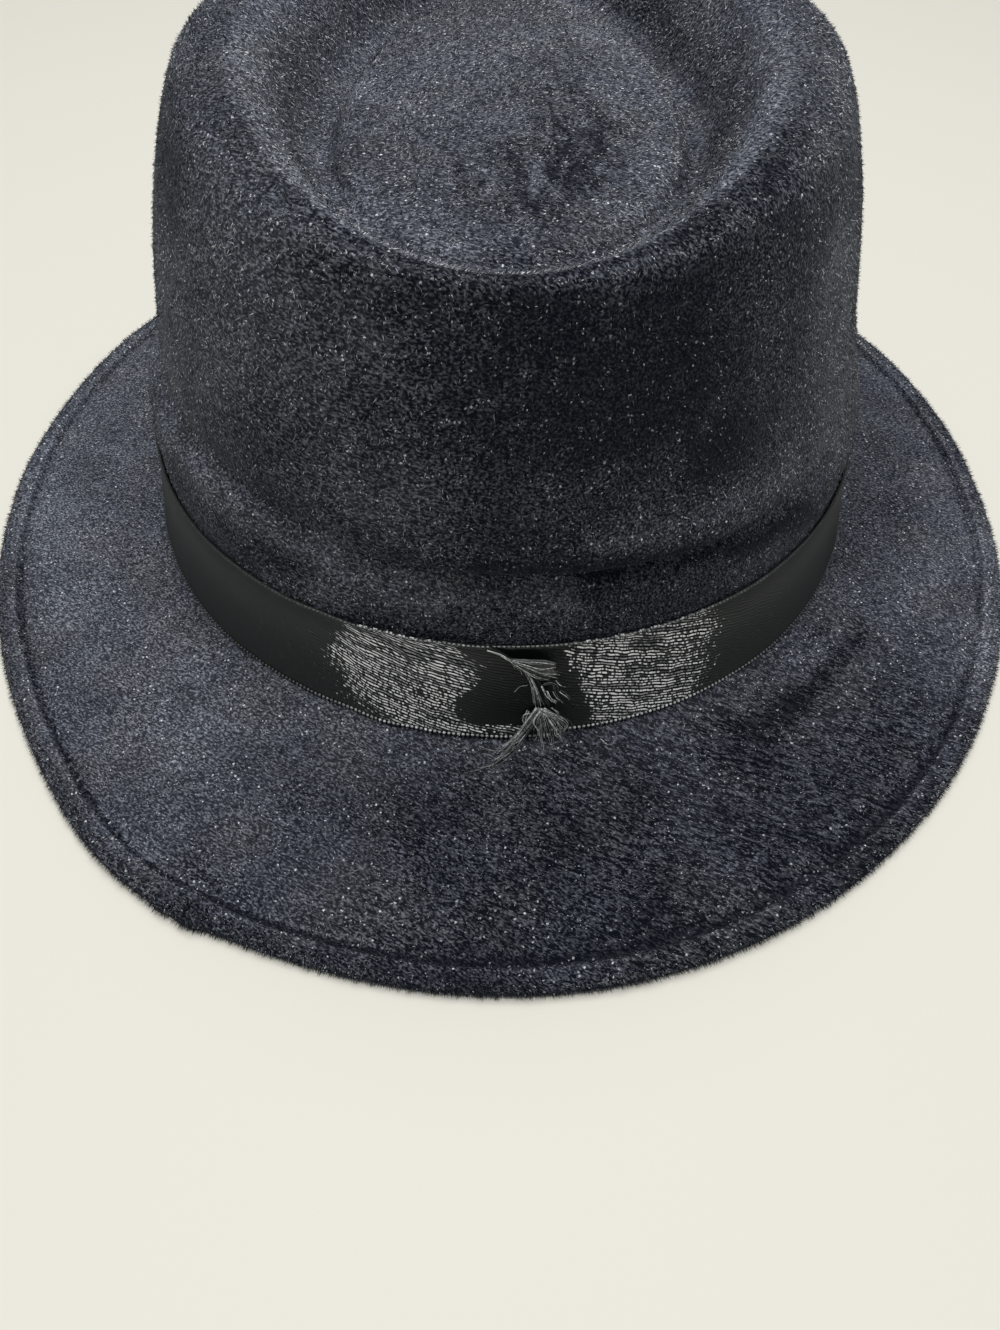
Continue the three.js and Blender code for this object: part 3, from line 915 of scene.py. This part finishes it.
@dataclass
class HatShell:
    """Crown and brim: the fine outer skin with its pile, and the plain inside skin."""

    form: HatForm
    photograph: Photograph
    columns: int = 360
    inside_pitch: float = 3.2
    unevenness: float = 0.35
    lump_angle: float = 245.0
    lump_spread: float = 1.6
    lump_reach: float = 0.9
    soft_rounds: int = 9
    soft_place: float = -5.2
    soft_spread: float = 2.4
    nap_and_light_range: tuple = (0.15, 1.7)
    combed_height: float = 8.5

    def outer_pitch(self) -> Array:
        """Distance between rows in each gap of the outer rings, finest at the edge, ledge and crest."""
        edge = [3.0] + [0.5] * 15
        brim = [1.9] * 3 + [1.6, 0.9]
        crown = [2.6] * 3 + [0.8] * 5 + [2.0] * 4 + [1.25] * 12 + [2.0] * 3
        return np.array(edge + brim + crown + [2.2])

    def soften(self, points: Array, where: Array) -> Array:
        """Rounds the groove beside the island, as felt has no sharp valley: each row moves towards the
        middle of its neighbours, again and again."""
        groove = self.form.ring_key(Section.ISLAND_EDGE) + self.soft_place
        share = 0.5 * bell(where - groove, self.soft_spread)[1:-1, None, None]
        for _ in range(self.soft_rounds):
            moved = points[1:-1] + share * ((points[2:] + points[:-2]) / 2 - points[1:-1])
            points = np.concatenate([points[:1], moved, points[-1:]])
        return points

    def relief(self, points: Array, normals: Array) -> Array:
        """Points moved a little along their normals, as felt is never quite even.

        Two clouds of noise, one of a few centimetres and one under a centimetre, are held back near the
        floor and behind the ribbon. The edge has one ragged lump at the back left.
        """
        height = points[..., 2]
        behind_ribbon = fade(height, 7.0, 9.0) * (1 - fade(height, 33.0, 37.0))
        free = fade(height, 0.8, 3.0) * (1 - 0.8 * behind_ribbon)
        lift = self.unevenness * (cloud(points, 27.0, 1) + 0.3 * cloud(points, 8.0, 2))
        near = bell(turn(self.lump_angle, direction(points)), self.lump_spread)
        near = near * fade(self.form.outline(points), 0.95, 0.98)
        lump = self.lump_reach * near * (1 + 0.8 * cloud(points, 1.7, 3))
        moved = points + normals * (lift * free + lump)[..., None]
        moved[..., 2] = np.maximum(moved[..., 2], 0.0)
        return moved

    def parts(self, where: Array) -> dict:
        """How far each row belongs to the brim, the wall and the top, 0 to 1."""
        ribbon = where - self.form.ring_key(Section.RIBBON_TOP)
        rise = fade(ribbon, -9.0, -5.0)
        over = fade(where - self.form.ring_key(Section.RIDGE), -1.2, 1.0)
        return {Part.BRIM: 1 - rise, Part.WALL: rise * (1 - over), Part.TOP: rise * over}

    def nap_and_painted_light(self, points: Array, normals: Array, where: Array) -> Array:
        """How light the pile looks at each point.

        It is darker down the walls, partly as the pile hangs down and partly as painted shade, and a painted
        shadow makes it darkest where the wall overhangs. Painted highlights and painted shade that run with
        the hat's own rings come from the distance to them, and brushed places and painted light and shade
        from the marks.
        """
        angles = direction(points)
        where = where[:, None]
        up = normals[..., 2]
        # Painted shade: darker down the walls, and darker still where they overhang and face down.
        tone = 0.96 - 0.52 * fade(up, 0.80, 0.15) - 0.24 * fade(up, 0.05, -0.40)
        tone = tone + 0.20 * cloud(points, 15.0, 5) + 0.12 * cloud(points, 6.0, 6)
        past = {section: where - self.form.ring_key(section) for section in Section}
        for ring, place, width, middle, reach, gain in RING_LINES:
            tone = tone + gain * bell(past[ring] - place, width) * bell(turn(middle, angles), reach)
        for ring, start, end, middle, reach, gain in RING_BANDS:
            band = fade(past[ring], *start) * fade(past[ring], *end)
            tone = tone + gain * band * bell(turn(middle, angles), reach)
        sight = unit(np.array(self.photograph.place) - points)
        facing = fade(np.sum(sight * normals, axis=-1), 0.0, 0.15)
        seen = self.photograph.seen(points)
        mottle = 0.35 * cloud(points, 3.2, 8) + 0.90 * cloud(points, 1.5, 9)
        for part, belongs in self.parts(where).items():
            for path, spread, strength, rough in NAP_AND_LIGHT_MARKS[part]:
                tone = tone + stroke(seen, path, spread) * strength * (1 + rough * mottle) * belongs * facing
        return np.clip(tone, *self.nap_and_light_range)

    def comb(self, points: Array) -> Array:
        """How combed the pile is: most on the brim at the back right."""
        x, y, z = np.moveaxis(points, -1, 0)
        near = bell(x - 60.0, 50.0) * bell(y + 106.0, 34.0)
        return np.clip(1.25 * near, 0.0, 1.0) * (z < self.combed_height)

    def build(self) -> Piece:
        """Builds both skins as one closed body.

        Rows run from the island's peak down the outside, round the rolled edge, and up inside to the peak
        again. The inside skin is its own smooth grid, moved in from the outer form by the wall.
        """
        angles = np.arange(self.columns) * FULL_TURN / self.columns
        outer, where = self.form.skin(self.form.outer_rings(), self.outer_pitch(), angles)
        outer = self.soften(outer, where)
        self.outer = self.relief(outer, grid_normals(outer))
        self.normals = grid_normals(self.outer)
        self.nap_and_light_grid = self.nap_and_painted_light(self.outer, self.normals, where)
        rings = self.form.inner_rings()
        inner, _ = self.form.skin(rings, np.full(len(rings) - 1, self.inside_pitch), angles)
        inner = (inner - grid_normals(inner) * self.form.wall)[:-1]
        outside = self.outer[:-1][::-1]
        rows = len(outside) + len(inner)
        peak = self.outer[-1, 0]
        ends = np.array([peak, peak - np.array([0.0, 0.0, self.form.wall])])
        points = np.concatenate([outside.reshape(-1, 3), inner.reshape(-1, 3), ends])
        count = rows * self.columns
        last = count - self.columns
        around = [(i, (i + 1) % self.columns) for i in range(self.columns)]
        faces = tube_faces(rows, self.columns)[:, ::-1].tolist() + [[a, b, count] for a, b in around]
        faces += [[last + b, last + a, count + 1] for a, b in around]
        piece = make_piece("velour_shell", points, faces)
        hidden = inner.size // 3
        # The pile's tone holds painted shade and painted highlights as well as its brushing.
        napped_and_lit = self.nap_and_light_grid[:-1][::-1]
        for name, values, felt, tail in (
            ("pile", np.ones(napped_and_lit.shape), 0.0, [1.0, 0.0]),
            ("nap_and_painted_light", napped_and_lit, 1.0, [1.0, 1.0]),
            ("comb", self.comb(outside), 0.0, [0.0, 0.0]),
        ):
            set_value(piece, name, np.concatenate([values.ravel(), np.full(hidden, felt), tail]))
        return piece

    def surface(self) -> BVHTree:
        """The outer skin, for things to be laid on, in millimetres."""
        faces = tube_faces(len(self.outer), self.columns)
        return BVHTree.FromPolygons(self.outer.reshape(-1, 3).tolist(), faces.tolist())


@dataclass
class PileBed:
    """Loose fibres of the pile: closed slivers that stand and lie on the outer skin."""

    shell: HatShell
    length: float = 0.80
    width: float = 0.10
    lean: float = 62.0
    lean_spread: float = 16.0
    edge_lean: float = 24.0
    clearance: float = 0.15
    root_depth: float = 0.08
    bright_share: float = 0.09
    edge_crowd: float = 5.0
    seed: int = 7

    def lie(self, points: Array, normals: Array) -> Array:
        """Which way the pile lies: down the walls, and across the brim and the top with soft swirls."""
        down = np.broadcast_to([0.0, 0.0, -1.0], points.shape)
        level = np.broadcast_to([0.86, -0.5, 0.0], points.shape)
        wall = fade(normals[..., 2], 0.7, 0.3)[..., None]
        swirl = np.stack([cloud(points, 16.0, seed) for seed in (11, 12, 13)], axis=-1)
        return self.flat(across(level, down, wall) + 0.9 * swirl, normals)

    def flat(self, flow: Array, normals: Array) -> Array:
        """Directions without their part along the normals."""
        return unit(flow - normals * np.sum(flow * normals, axis=-1, keepdims=True))

    def build(self, name: str, low: int, high: int, count: int) -> Piece:
        """Scatters fibres over some rows of the outer skin, evenly by area.

        Args:
            name: Name of the piece.
            low: First row.
            high: Row after the last.
            count: Number of fibres.

        Returns:
            One object of slivers, four points and four triangles each.
        """
        rng = np.random.default_rng(self.seed + low)
        grid = self.shell.outer[low:high]
        normal_grid = self.shell.normals[low:high]
        right = np.roll(grid, -1, axis=1)
        area = np.linalg.norm(np.cross(right[:-1] - grid[:-1], grid[1:] - grid[:-1]), axis=-1)
        rim = fade(self.shell.form.outline(grid), 0.986, 0.994)
        area = area * (1 + self.edge_crowd * rim[:-1])
        picked = rng.choice(area.size, size=count, p=area.ravel() / area.sum())
        row, column = np.divmod(picked, grid.shape[1])
        after = (column + 1) % grid.shape[1]
        u = rng.random((count, 1))
        v = rng.random((count, 1))
        lower = across(grid[row, column], grid[row, after], u)
        root = across(lower, across(grid[row + 1, column], grid[row + 1, after], u), v)
        normal = unit(normal_grid[row, column] + normal_grid[row + 1, after])
        flow = self.flat(unit(self.lie(root, normal) + 0.75 * rng.normal(size=(count, 3))), normal)
        side = np.cross(normal, flow)
        loose = rim[row, column][:, None]
        lean = rng.normal(self.lean, self.lean_spread, (count, 1)) - self.edge_lean * loose
        lean = np.radians(np.clip(lean, 5.0, 86.0))
        bright = rng.random((count, 1)) < self.bright_share
        length = self.length * rng.uniform(0.6, 1.35, (count, 1)) * np.where(bright, 0.5, 1.0 + 0.3 * loose)
        width = self.width * rng.uniform(0.6, 1.3, (count, 1)) * np.where(bright, 1.25, 1.0)
        tip = root + length * (normal * np.cos(lean) + flow * np.sin(lean))
        tip[:, 2] = np.maximum(tip[:, 2], self.clearance)
        base = root - self.root_depth * normal
        base[:, 2] = np.maximum(base[:, 2], self.clearance)
        corners = [base - side * width, base + side * width, base + normal * width * 1.2, tip]
        sliver = np.array([[2, 1, 0], [1, 3, 0], [2, 3, 1], [0, 3, 2]])
        faces = (np.arange(count)[:, None, None] * 4 + sliver).reshape(-1, 3).tolist()
        piece = make_piece(name, np.stack(corners, axis=1), faces, smooth=False)
        napped_and_lit = self.shell.nap_and_light_grid[low:high][row, column]
        # Fibre tone carries the painted shade of the skin below, and the bright fibres are painted glints.
        tone = 0.66 * rng.random(count) ** 2.5 * np.clip(napped_and_lit, 0.1, 1.3)
        tone = np.where(bright[:, 0], 0.40 + 0.45 * napped_and_lit, tone)
        set_value(piece, "tone", np.repeat(tone, 4))
        return piece


@dataclass
class RibbonBand:
    """The satin ribbon: once round the crown, and its end lapped on top at the back."""

    form: HatForm
    photograph: Photograph
    width: float = 24.6
    lift: float = 0.9
    thickness: float = 0.4
    stand_off: float = 0.62
    lap_stand_off: float = 1.75
    lap_rise: float = 0.8
    start: float = 260.0
    end_bottom: float = 277.0
    end_cut: float = 8.2
    end_curve: float = 3.6
    climb: float = 15.0
    stations: int = 900
    rows: int = 26
    loop_pitch: float = 1.05
    seed: int = 5

    def climbed(self, travel: Array) -> Array:
        """How far the ribbon has climbed onto its own start, 0 to 1."""
        again = self.start + FULL_TURN
        return fade(travel, again - self.climb, again - 2.0)

    def outward(self, travel: Array, share: Array) -> Array:
        """How far the ribbon's middle stands off the crown.

        It is near the crown all round, climbs smoothly onto its own start, and has small lengthwise waves
        and a slightly lifted top edge.
        """
        climb = self.climbed(travel)
        angle = np.radians(travel)
        waves = 0.07 * np.sin(angle * 21.0 + 2.0 * share) * np.sin(angle * 5.0)
        pucker = 0.16 * bell(travel - self.start - FULL_TURN + 4.0, 9.0) * np.sin(angle * 40.0 + 3.0 * share)
        lip = (0.14 - 0.34 * climb) * fade(share, 0.8, 1.0)
        return self.stand_off + climb * (self.lap_stand_off - self.stand_off) + waves + pucker + lip

    def build(self) -> Piece:
        """Builds the strip: its middle surface by travel and share of the width, moved half its thickness
        each way, with the edges rounded by two more rows."""
        share = np.linspace(0.0, 1.0, self.rows)
        cut = FULL_TURN + self.end_bottom - self.end_cut * share**self.end_curve
        travel = self.start + (cut - self.start) * np.linspace(0.0, 1.0, self.stations)[:, None]
        out = self.outward(travel, share)
        low = self.form.brim_rise + self.lift
        half = self.thickness / 2 * (0.75 + 0.6 * bell(np.minimum(share, 1 - share), 0.02))
        rise = self.lap_rise * self.climbed(travel) * fade(share, 0.7, 1.0)
        height = low + 0.1 + (self.width - 0.2) * share + rise
        self.front = self.form.crown_point(height, travel, out + half)
        back = self.form.crown_point(height, travel, out - half)
        high_edge, low_edge = (np.full((self.stations, 1), low + up) for up in (self.width, 0.0))
        top = self.form.crown_point(high_edge, travel[:, -1:], out[:, -1:])
        foot = self.form.crown_point(low_edge, travel[:, :1], out[:, :1])
        loops = np.concatenate([self.front, top, back[:, ::-1], foot], axis=1)
        faces = [face[::-1] for face in capped_tubes(self.stations, loops.shape[1])]
        piece = make_piece("satin_ribbon", loops, faces)
        length = along(self.front[:, 0])
        self.flat_length = float(length[-1])
        ring_share = np.concatenate([share, [1.0], share[::-1], [0.0]])
        uv = np.stack(np.broadcast_arrays(length[:, None], ring_share * self.width), axis=-1).reshape(-1, 2)
        corner = np.empty(len(piece.data.loops), dtype=np.int32)
        piece.data.loops.foreach_get("vertex_index", corner)
        layer = piece.data.uv_layers.new(name="weave")
        layer.data.foreach_set("uv", (uv * MM)[corner].astype(np.float32).ravel())
        travelled = np.concatenate([travel, travel[:, -1:], travel[:, ::-1], travel[:, :1]], axis=1)
        behind = loops[..., 1] < 0
        seen = self.photograph.seen(loops)
        lapped = travelled > self.start + 200.0
        # Painted highlights: the shine attribute marks where the back of the ribbon gets the highlight
        # colour.
        shine = np.zeros(travelled.shape)
        for on_lap, marks in SHINE_MARKS.items():
            for path, spread, strength in marks:
                shine += strength * stroke(seen, path, spread) * (lapped == on_lap)
        set_value(piece, "shine", np.clip(shine, 0.0, 1.0) * behind)
        # Painted shade: gloom darkens the lap end and, a little, the whole ribbon, except for a painted soft
        # sheen at the pale mark.
        shaded = bell(turn(274.0, travelled), 6.0) * (travelled > self.start - 5.0)
        gloom = 0.20 * (1 - stroke(seen, *PALE_MARK) * behind)
        set_value(piece, "gloom", np.maximum(shaded, gloom))
        return piece

    def selvage(self) -> Piece:
        """The woven loops of both edges: small beads a pitch apart, squashed along the edge's directions."""
        count = int(self.flat_length / self.loop_pitch)
        lines = []
        for row, lean in ((0, -0.12), (self.rows - 1, 0.05)):
            edge = self.front[:, row]
            length = along(edge)
            at = np.linspace(0.3, length[-1] - 0.3, count)
            line = np.stack([np.interp(at, length, edge[:, axis]) for axis in range(3)], axis=-1)
            lines.append(line + np.array([0.0, 0.0, lean]))
        middle = np.concatenate(lines)
        tangent = unit(np.concatenate([np.gradient(line, axis=0) for line in lines]))
        out = unit(np.cross(tangent, np.broadcast_to([0.0, 0.0, 1.0], middle.shape)))
        lower = np.arange(len(middle)) < count
        stout = np.where(lower, 0.38, 0.22)[:, None]
        axes = np.stack([tangent * 0.42, np.cross(out, tangent) * stout, out * stout], axis=1)
        corners, faces = round_bead()
        points = middle[:, None] + np.einsum("pk,bkd->bpd", corners, axes)
        all_faces = faces[None] + np.arange(len(middle))[:, None, None] * len(corners)
        piece = make_piece("ribbon_selvage", points, all_faces.reshape(-1, 3).tolist())
        turned = np.degrees(np.arctan2(middle[:, 0], -middle[:, 1]))
        # Painted highlights: the beads are brightest beside the satin's highlight patches, and the upper row
        # gets 0.6 of the tone.
        shine = np.clip(0.10 + bell(turned + 9.0, 10.0) + bell(turned - 21.0, 10.0), 0.0, 1.0)
        tone = np.random.default_rng(self.seed).uniform(0.45, 1.0, len(middle)) * shine
        set_value(piece, "tone", np.repeat(tone * np.where(lower, 1.0, 0.6), len(corners)))
        return piece


@dataclass
class FrayedEnd:
    """The cut end of the ribbon: its rolled edge, the folded tip and the loose threads.

    A path's points are x and y in the photograph's 1000 by 1330 frame and a lift in millimetres off what
    lies under them there.
    """

    photograph: Photograph
    shell: HatShell
    band: RibbonBand
    strand: float = 0.088
    sides: int = 5
    stations: int = 16
    seed: int = 21
    tip_columns: int = 15
    tip_rows: int = 9
    tip_half: float = 0.11
    # path, strands, spread at its start and end in millimetres, tone
    tufts: tuple = (
        (
            ((487, 650, 0.1), (499, 653, 0.3), (509, 658, 0.4), (520, 665, 0.5), (529, 675, 0.5)),
            8, 0.12, 0.45, 0.9,
        ),
        (((522, 665, 0.3), (532, 680, 0.5), (538, 694, 0.6), (542, 708, 0.5)), 15, 0.45, 0.95, 0.9),
        (
            ((540, 706, 0.5), (529, 720, 0.9), (518, 736, 0.9), (508, 753, 0.5), (491, 766, 0.3)),
            26, 1.5, 1.2, 0.48,
        ),
        (((538, 708, 0.7), (524, 724, 0.8), (513, 743, 0.5), (499, 760, 0.3)), 5, 0.6, 0.5, 0.6),
        (((508, 753, 0.4), (492, 765, 0.3), (474, 772, 0.2), (459, 776, 0.1)), 3, 0.3, 0.3, 0.5),
        (((516, 748, 0.2), (500, 752, 0.3), (478, 750, 0.2), (466, 746, 0.1)), 2, 0.2, 0.3, 0.25),
        (((542, 707, 0.6), (553, 715, 0.9), (561, 725, 0.9), (565, 738, 0.3)), 17, 0.8, 2.2, 0.66),
        (((541, 707, 0.6), (546, 722, 1.0), (550, 736, 0.8), (553, 749, 0.3)), 16, 0.9, 2.5, 0.62),
        (((538, 708, 0.5), (538, 722, 0.9), (536, 734, 0.8), (535, 746, 0.2)), 10, 0.8, 1.8, 0.62),
        (((542, 707, 0.8), (556, 712, 1.2), (566, 722, 0.9), (563, 733, 0.4)), 5, 0.5, 1.3, 0.85),
        (((541, 708, 0.8), (535, 716, 1.3), (541, 727, 1.0), (546, 735, 0.4)), 5, 0.6, 1.2, 0.85),
        (((528, 709, 0.5), (524, 717, 1.1), (531, 722, 0.8), (527, 727, 0.3)), 4, 0.5, 0.7, 0.9),
        (((541, 684, 0.6), (545, 692, 0.8), (551, 702, 0.5)), 4, 0.4, 0.6, 0.8),
        (((556, 679, 0.3), (562, 685, 0.7), (569, 688, 0.3)), 3, 0.4, 0.7, 0.6),
        (((551, 706, 0.5), (557, 710, 0.7), (561, 716, 0.3)), 3, 0.4, 0.6, 0.8),
        (((546, 690, 0.3), (549, 697, 0.7), (554, 704, 0.4)), 4, 0.4, 0.6, 0.7),
        (((553, 690, 0.3), (557, 696, 0.7), (563, 703, 0.4)), 4, 0.4, 0.6, 0.65),
        (((560, 690, 0.2), (565, 693, 0.6), (571, 699, 0.5)), 4, 0.5, 0.6, 0.6),
        (((543, 684, 0.2), (549, 681, 0.5), (556, 684, 0.4), (560, 690, 0.2)), 5, 0.6, 0.8, 0.16),
        (((535, 712, 0.4), (526, 711, 0.9), (521, 715, 0.7), (523, 720, 0.3)), 5, 0.4, 0.5, 0.8),
        (((514, 692, 0.1), (519, 687, 0.2), (528, 684, 0.1)), 1, 0.0, 0.0, 0.4),
        (((532, 759, 0.2), (533, 755, 0.5), (538, 752, 0.1)), 1, 0.0, 0.0, 1.0),
        (((600, 739, 0.2), (606, 744, 0.4), (612, 746, 0.1)), 1, 0.0, 0.0, 0.9),
        (((510, 657, 0.7), (524, 658, 1.2), (538, 659, 1.4), (554, 662, 1.1)), 9, 0.1, 0.5, 0.55),
        (((512, 659, 0.7), (526, 662, 1.3), (541, 666, 1.5), (559, 669, 1.0)), 12, 0.2, 0.9, 0.60),
        (((515, 662, 0.6), (527, 668, 1.1), (538, 674, 1.2), (550, 677, 0.8)), 9, 0.2, 0.7, 0.45),
    )
    tip_top: tuple = ((510, 657), (522, 658), (535, 658), (547, 659), (556, 662))
    tip_low: tuple = ((513, 661), (522, 667), (531, 674), (540, 679), (550, 677))

    @cached_property
    def ground(self) -> list[BVHTree]:
        """What the threads lie on: brim, crown, and the lapped ribbon's face carried on past its end."""
        rows, columns = 30, 43
        up, around = np.linspace(7.5, 42.0, rows), np.linspace(250.0, 292.0, columns)
        heights, angles = np.meshgrid(up, around, indexing="ij")
        drop = 1.9 * fade(angles, 278.5, 283.0)
        face = self.band.form.crown_point(heights, angles, self.band.lap_stand_off + 0.35 - drop)
        row, column = np.meshgrid(np.arange(rows - 1), np.arange(columns - 1), indexing="ij")
        first = row * columns + column
        corners = (first, first + 1, first + columns + 1, first + columns)
        faces = np.stack(corners, axis=-1).reshape(-1, 4)
        return [self.shell.surface(), BVHTree.FromPolygons(face.reshape(-1, 3).tolist(), faces.tolist())]

    def land(self, points: Array) -> tuple[Array, Array]:
        """Lays photograph points on the ground.

        Args:
            points: Rows of x, y and a lift off the ground.

        Returns:
            Where the camera's sight of each meets the ground, lifted off it, and the normals there.
        """
        start = Vector(self.photograph.place)
        places, normals = [], []
        for x, y, lift in points:
            ray = self.photograph.ray(x, y)
            hits = [tree.ray_cast(start, ray) for tree in self.ground]
            place, normal, _, _ = min((hit for hit in hits if hit[0] is not None), key=lambda hit: hit[3])
            facing = normal if normal.dot(ray) < 0 else -normal
            places.append(place + facing * lift)
            normals.append(facing)
        return np.array(places), np.array(normals)

    def strands(self, rng: np.random.Generator, path: tuple, count: int, near: float, far: float) -> Array:
        """Middle lines of one tuft's strands: the path, with a spread that grows along it and small waves."""
        places, normals = self.land(path)
        keys = along(places)
        where = np.linspace(0.0, keys[-1], self.stations)
        line = spline(keys, places, where)
        normal = unit(spline(keys, normals, where))
        side = unit(np.cross(normal, np.gradient(line, axis=0)))
        share = (where / keys[-1])[None, :, None]
        spread = near + (far - near) * share
        each = (count, 1, 1)
        sideways = rng.uniform(-1, 1, each) * (0.75 + 0.25 * share)
        above = rng.uniform(0, 1, each) * (1 - 0.6 * share)
        phase = rng.uniform(0, 6.3, each)
        wave = 0.20 * np.sin(phase + share * rng.uniform(3, 9, each)) * share
        reach = rng.uniform(0.55, 1.06, each) if count > 1 else np.ones(each)
        curl = rng.normal(0.0, 0.5 * far, each) * share**2
        moved = line[None] + side[None] * (sideways * spread + wave + curl)
        moved = moved + normal[None] * above * spread * 0.5
        return moved[:, :1] + (moved - moved[:, :1]) * (1 - share + share * reach)

    def build_threads(self) -> Piece:
        """All strands as thin closed tubes that taper towards their ends."""
        rng = np.random.default_rng(self.seed)
        lines, tones = [], []
        for path, count, near, far, tone in self.tufts:
            lines.append(self.strands(rng, path, count, near, far))
            tones.append(np.clip(tone * rng.uniform(0.15, 1.75, count) ** 1.7, 0.02, 1.0))
        line = np.concatenate(lines)
        tangent = unit(np.gradient(line, axis=1))
        side = unit(np.cross(tangent, np.broadcast_to([0.1, -0.7, 0.7], tangent.shape)))
        other = np.cross(tangent, side)
        share = np.linspace(0.0, 1.0, self.stations)[None, :, None, None]
        radius = self.strand * (1.0 - 0.55 * share) * rng.uniform(0.7, 1.3, (len(line), 1, 1, 1))
        around = (np.arange(self.sides) * 2 * math.pi / self.sides)[None, None, :, None]
        outward = side[:, :, None] * np.cos(around) + other[:, :, None] * np.sin(around)
        points = line[:, :, None] + radius * outward
        piece = make_piece("frayed_threads", points, capped_tubes(self.stations, self.sides, len(line)))
        set_value(piece, "tone", np.repeat(np.concatenate(tones), self.stations * self.sides))
        return piece

    def build_tip(self) -> Piece:
        """The folded tip: a small sheet between its upper and lower edge lines, bowed up in the middle."""
        fine = np.linspace(0.0, 1.0, self.tip_columns)
        down = np.linspace(0.0, 1.0, self.tip_rows)[:, None]
        keys = np.linspace(0.0, 1.0, len(self.tip_top))
        edges = [np.array(edge, dtype=float) for edge in (self.tip_top, self.tip_low)]
        upper, lower = (spline(keys, edge, fine) for edge in edges)
        bow = 0.45 + 0.55 * np.sin(math.pi * down) * np.sin(0.4 + 2.4 * fine)[None]
        pixels = across(upper[None], lower[None], down[..., None])
        middle, normal = self.land(np.concatenate([pixels, bow[..., None]], axis=-1).reshape(-1, 3))
        front, back = (
            (middle + normal * half).reshape(self.tip_rows, self.tip_columns, 3)
            for half in (self.tip_half, -self.tip_half)
        )
        loops = np.concatenate([front, back[:, ::-1]], axis=1)
        # the rows go down the tip, so each face is turned to look out
        faces = [face[:1] + face[:0:-1] for face in capped_tubes(self.tip_rows, self.tip_columns * 2)]
        piece = make_piece("folded_tip", loops, faces)
        set_value(piece, "tone", np.broadcast_to(0.10 + 0.06 * np.sin(40.0 * down), loops.shape[:2]))
        return piece


@dataclass
class Studio:
    """Plain pale floor and soft lights."""

    floor_colour: tuple = (0.822, 0.80, 0.71, 1.0)
    floor_half: float = 4000.0
    floor_drop: float = 0.05
    world_colour: tuple = (0.93, 0.97, 1.0, 1.0)
    world_strength: float = 0.19
    # name, place in metres, size, watts
    lamps: tuple = (
        ("key", (0.0, 0.45, 1.5), 1.1, 11.5),
        ("left", (-0.44, -0.34, 1.40), 0.30, 6.4),
        ("right", (0.58, -0.30, 1.35), 0.30, 4.8),
    )

    def build(self) -> Piece:
        """Makes the floor, the lights and the world, and sets how colours are shown."""
        scene = bpy.context.scene
        scene.view_settings.view_transform = "Standard"
        scene.world = bpy.data.worlds.new("studio")
        scene.world.use_nodes = True
        background = scene.world.node_tree.nodes["Background"]
        background.inputs[0].default_value = self.world_colour
        background.inputs[1].default_value = self.world_strength
        for name, place, size, power in self.lamps:
            data = bpy.data.lights.new(name, "AREA")
            data.shape = "DISK"
            data.size = size
            data.energy = power
            lamp = bpy.data.objects.new(name, data)
            lamp.location = place
            lamp.rotation_euler = (-Vector(place)).to_track_quat("-Z", "Y").to_euler()
            scene.collection.objects.link(lamp)
        corners = np.array([[-1.0, -1.0], [1.0, -1.0], [1.0, 1.0], [-1.0, 1.0]]) * self.floor_half
        points = np.concatenate([corners, np.full((4, 1), -self.floor_drop)], axis=1)
        floor = make_piece("floor", points, [[0, 1, 2, 3]], smooth=False)
        surface = {"Base Color": self.floor_colour, "Roughness": 0.55, "Specular IOR Level": 0.2}
        floor.data.materials.append(new_material("floor", surface)[0])
        return floor


def main() -> None:
    """Builds the studio and the hat's pieces, hangs each on the root body, and hides the plain parts that the
    shell and the ribbon stand in for.
    """
    logging.basicConfig(level=logging.INFO, format="%(message)s")
    photograph = Photograph()
    photograph.make_camera()
    Studio().build()
    form = HatForm()
    shell = HatShell(form, photograph)
    velour = VelourFinish()
    body = shell.build()
    body.data.materials.append(velour.cloth(pile_group()))
    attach(body, "root")
    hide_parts("hat_shell")
    bed = PileBed(shell)
    fibre = velour.fibre()
    fibres = 45000
    rows = len(shell.outer)
    for name, low, high in (("pile_brim", 5, 52), ("pile_wall", 52, 122), ("pile_top", 122, rows)):
        tuft = bed.build(name, low, high, fibres)
        tuft.data.materials.append(fibre)
        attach(tuft, "root")
    band = RibbonBand(form, photograph)
    ribbon = band.build()
    ribbon.data.materials.append(SatinFinish().material())
    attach(ribbon, "root")
    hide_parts("ribbon_band")
    thread = ThreadFinish()
    frayed = FrayedEnd(photograph, shell, band)
    trims = [band.selvage(), frayed.build_threads(), frayed.build_tip()]
    for trim in trims:
        trim.data.materials.append(thread.material(trim.name + "_thread"))
        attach(trim, "root")


if __name__ == "__main__":
    main()
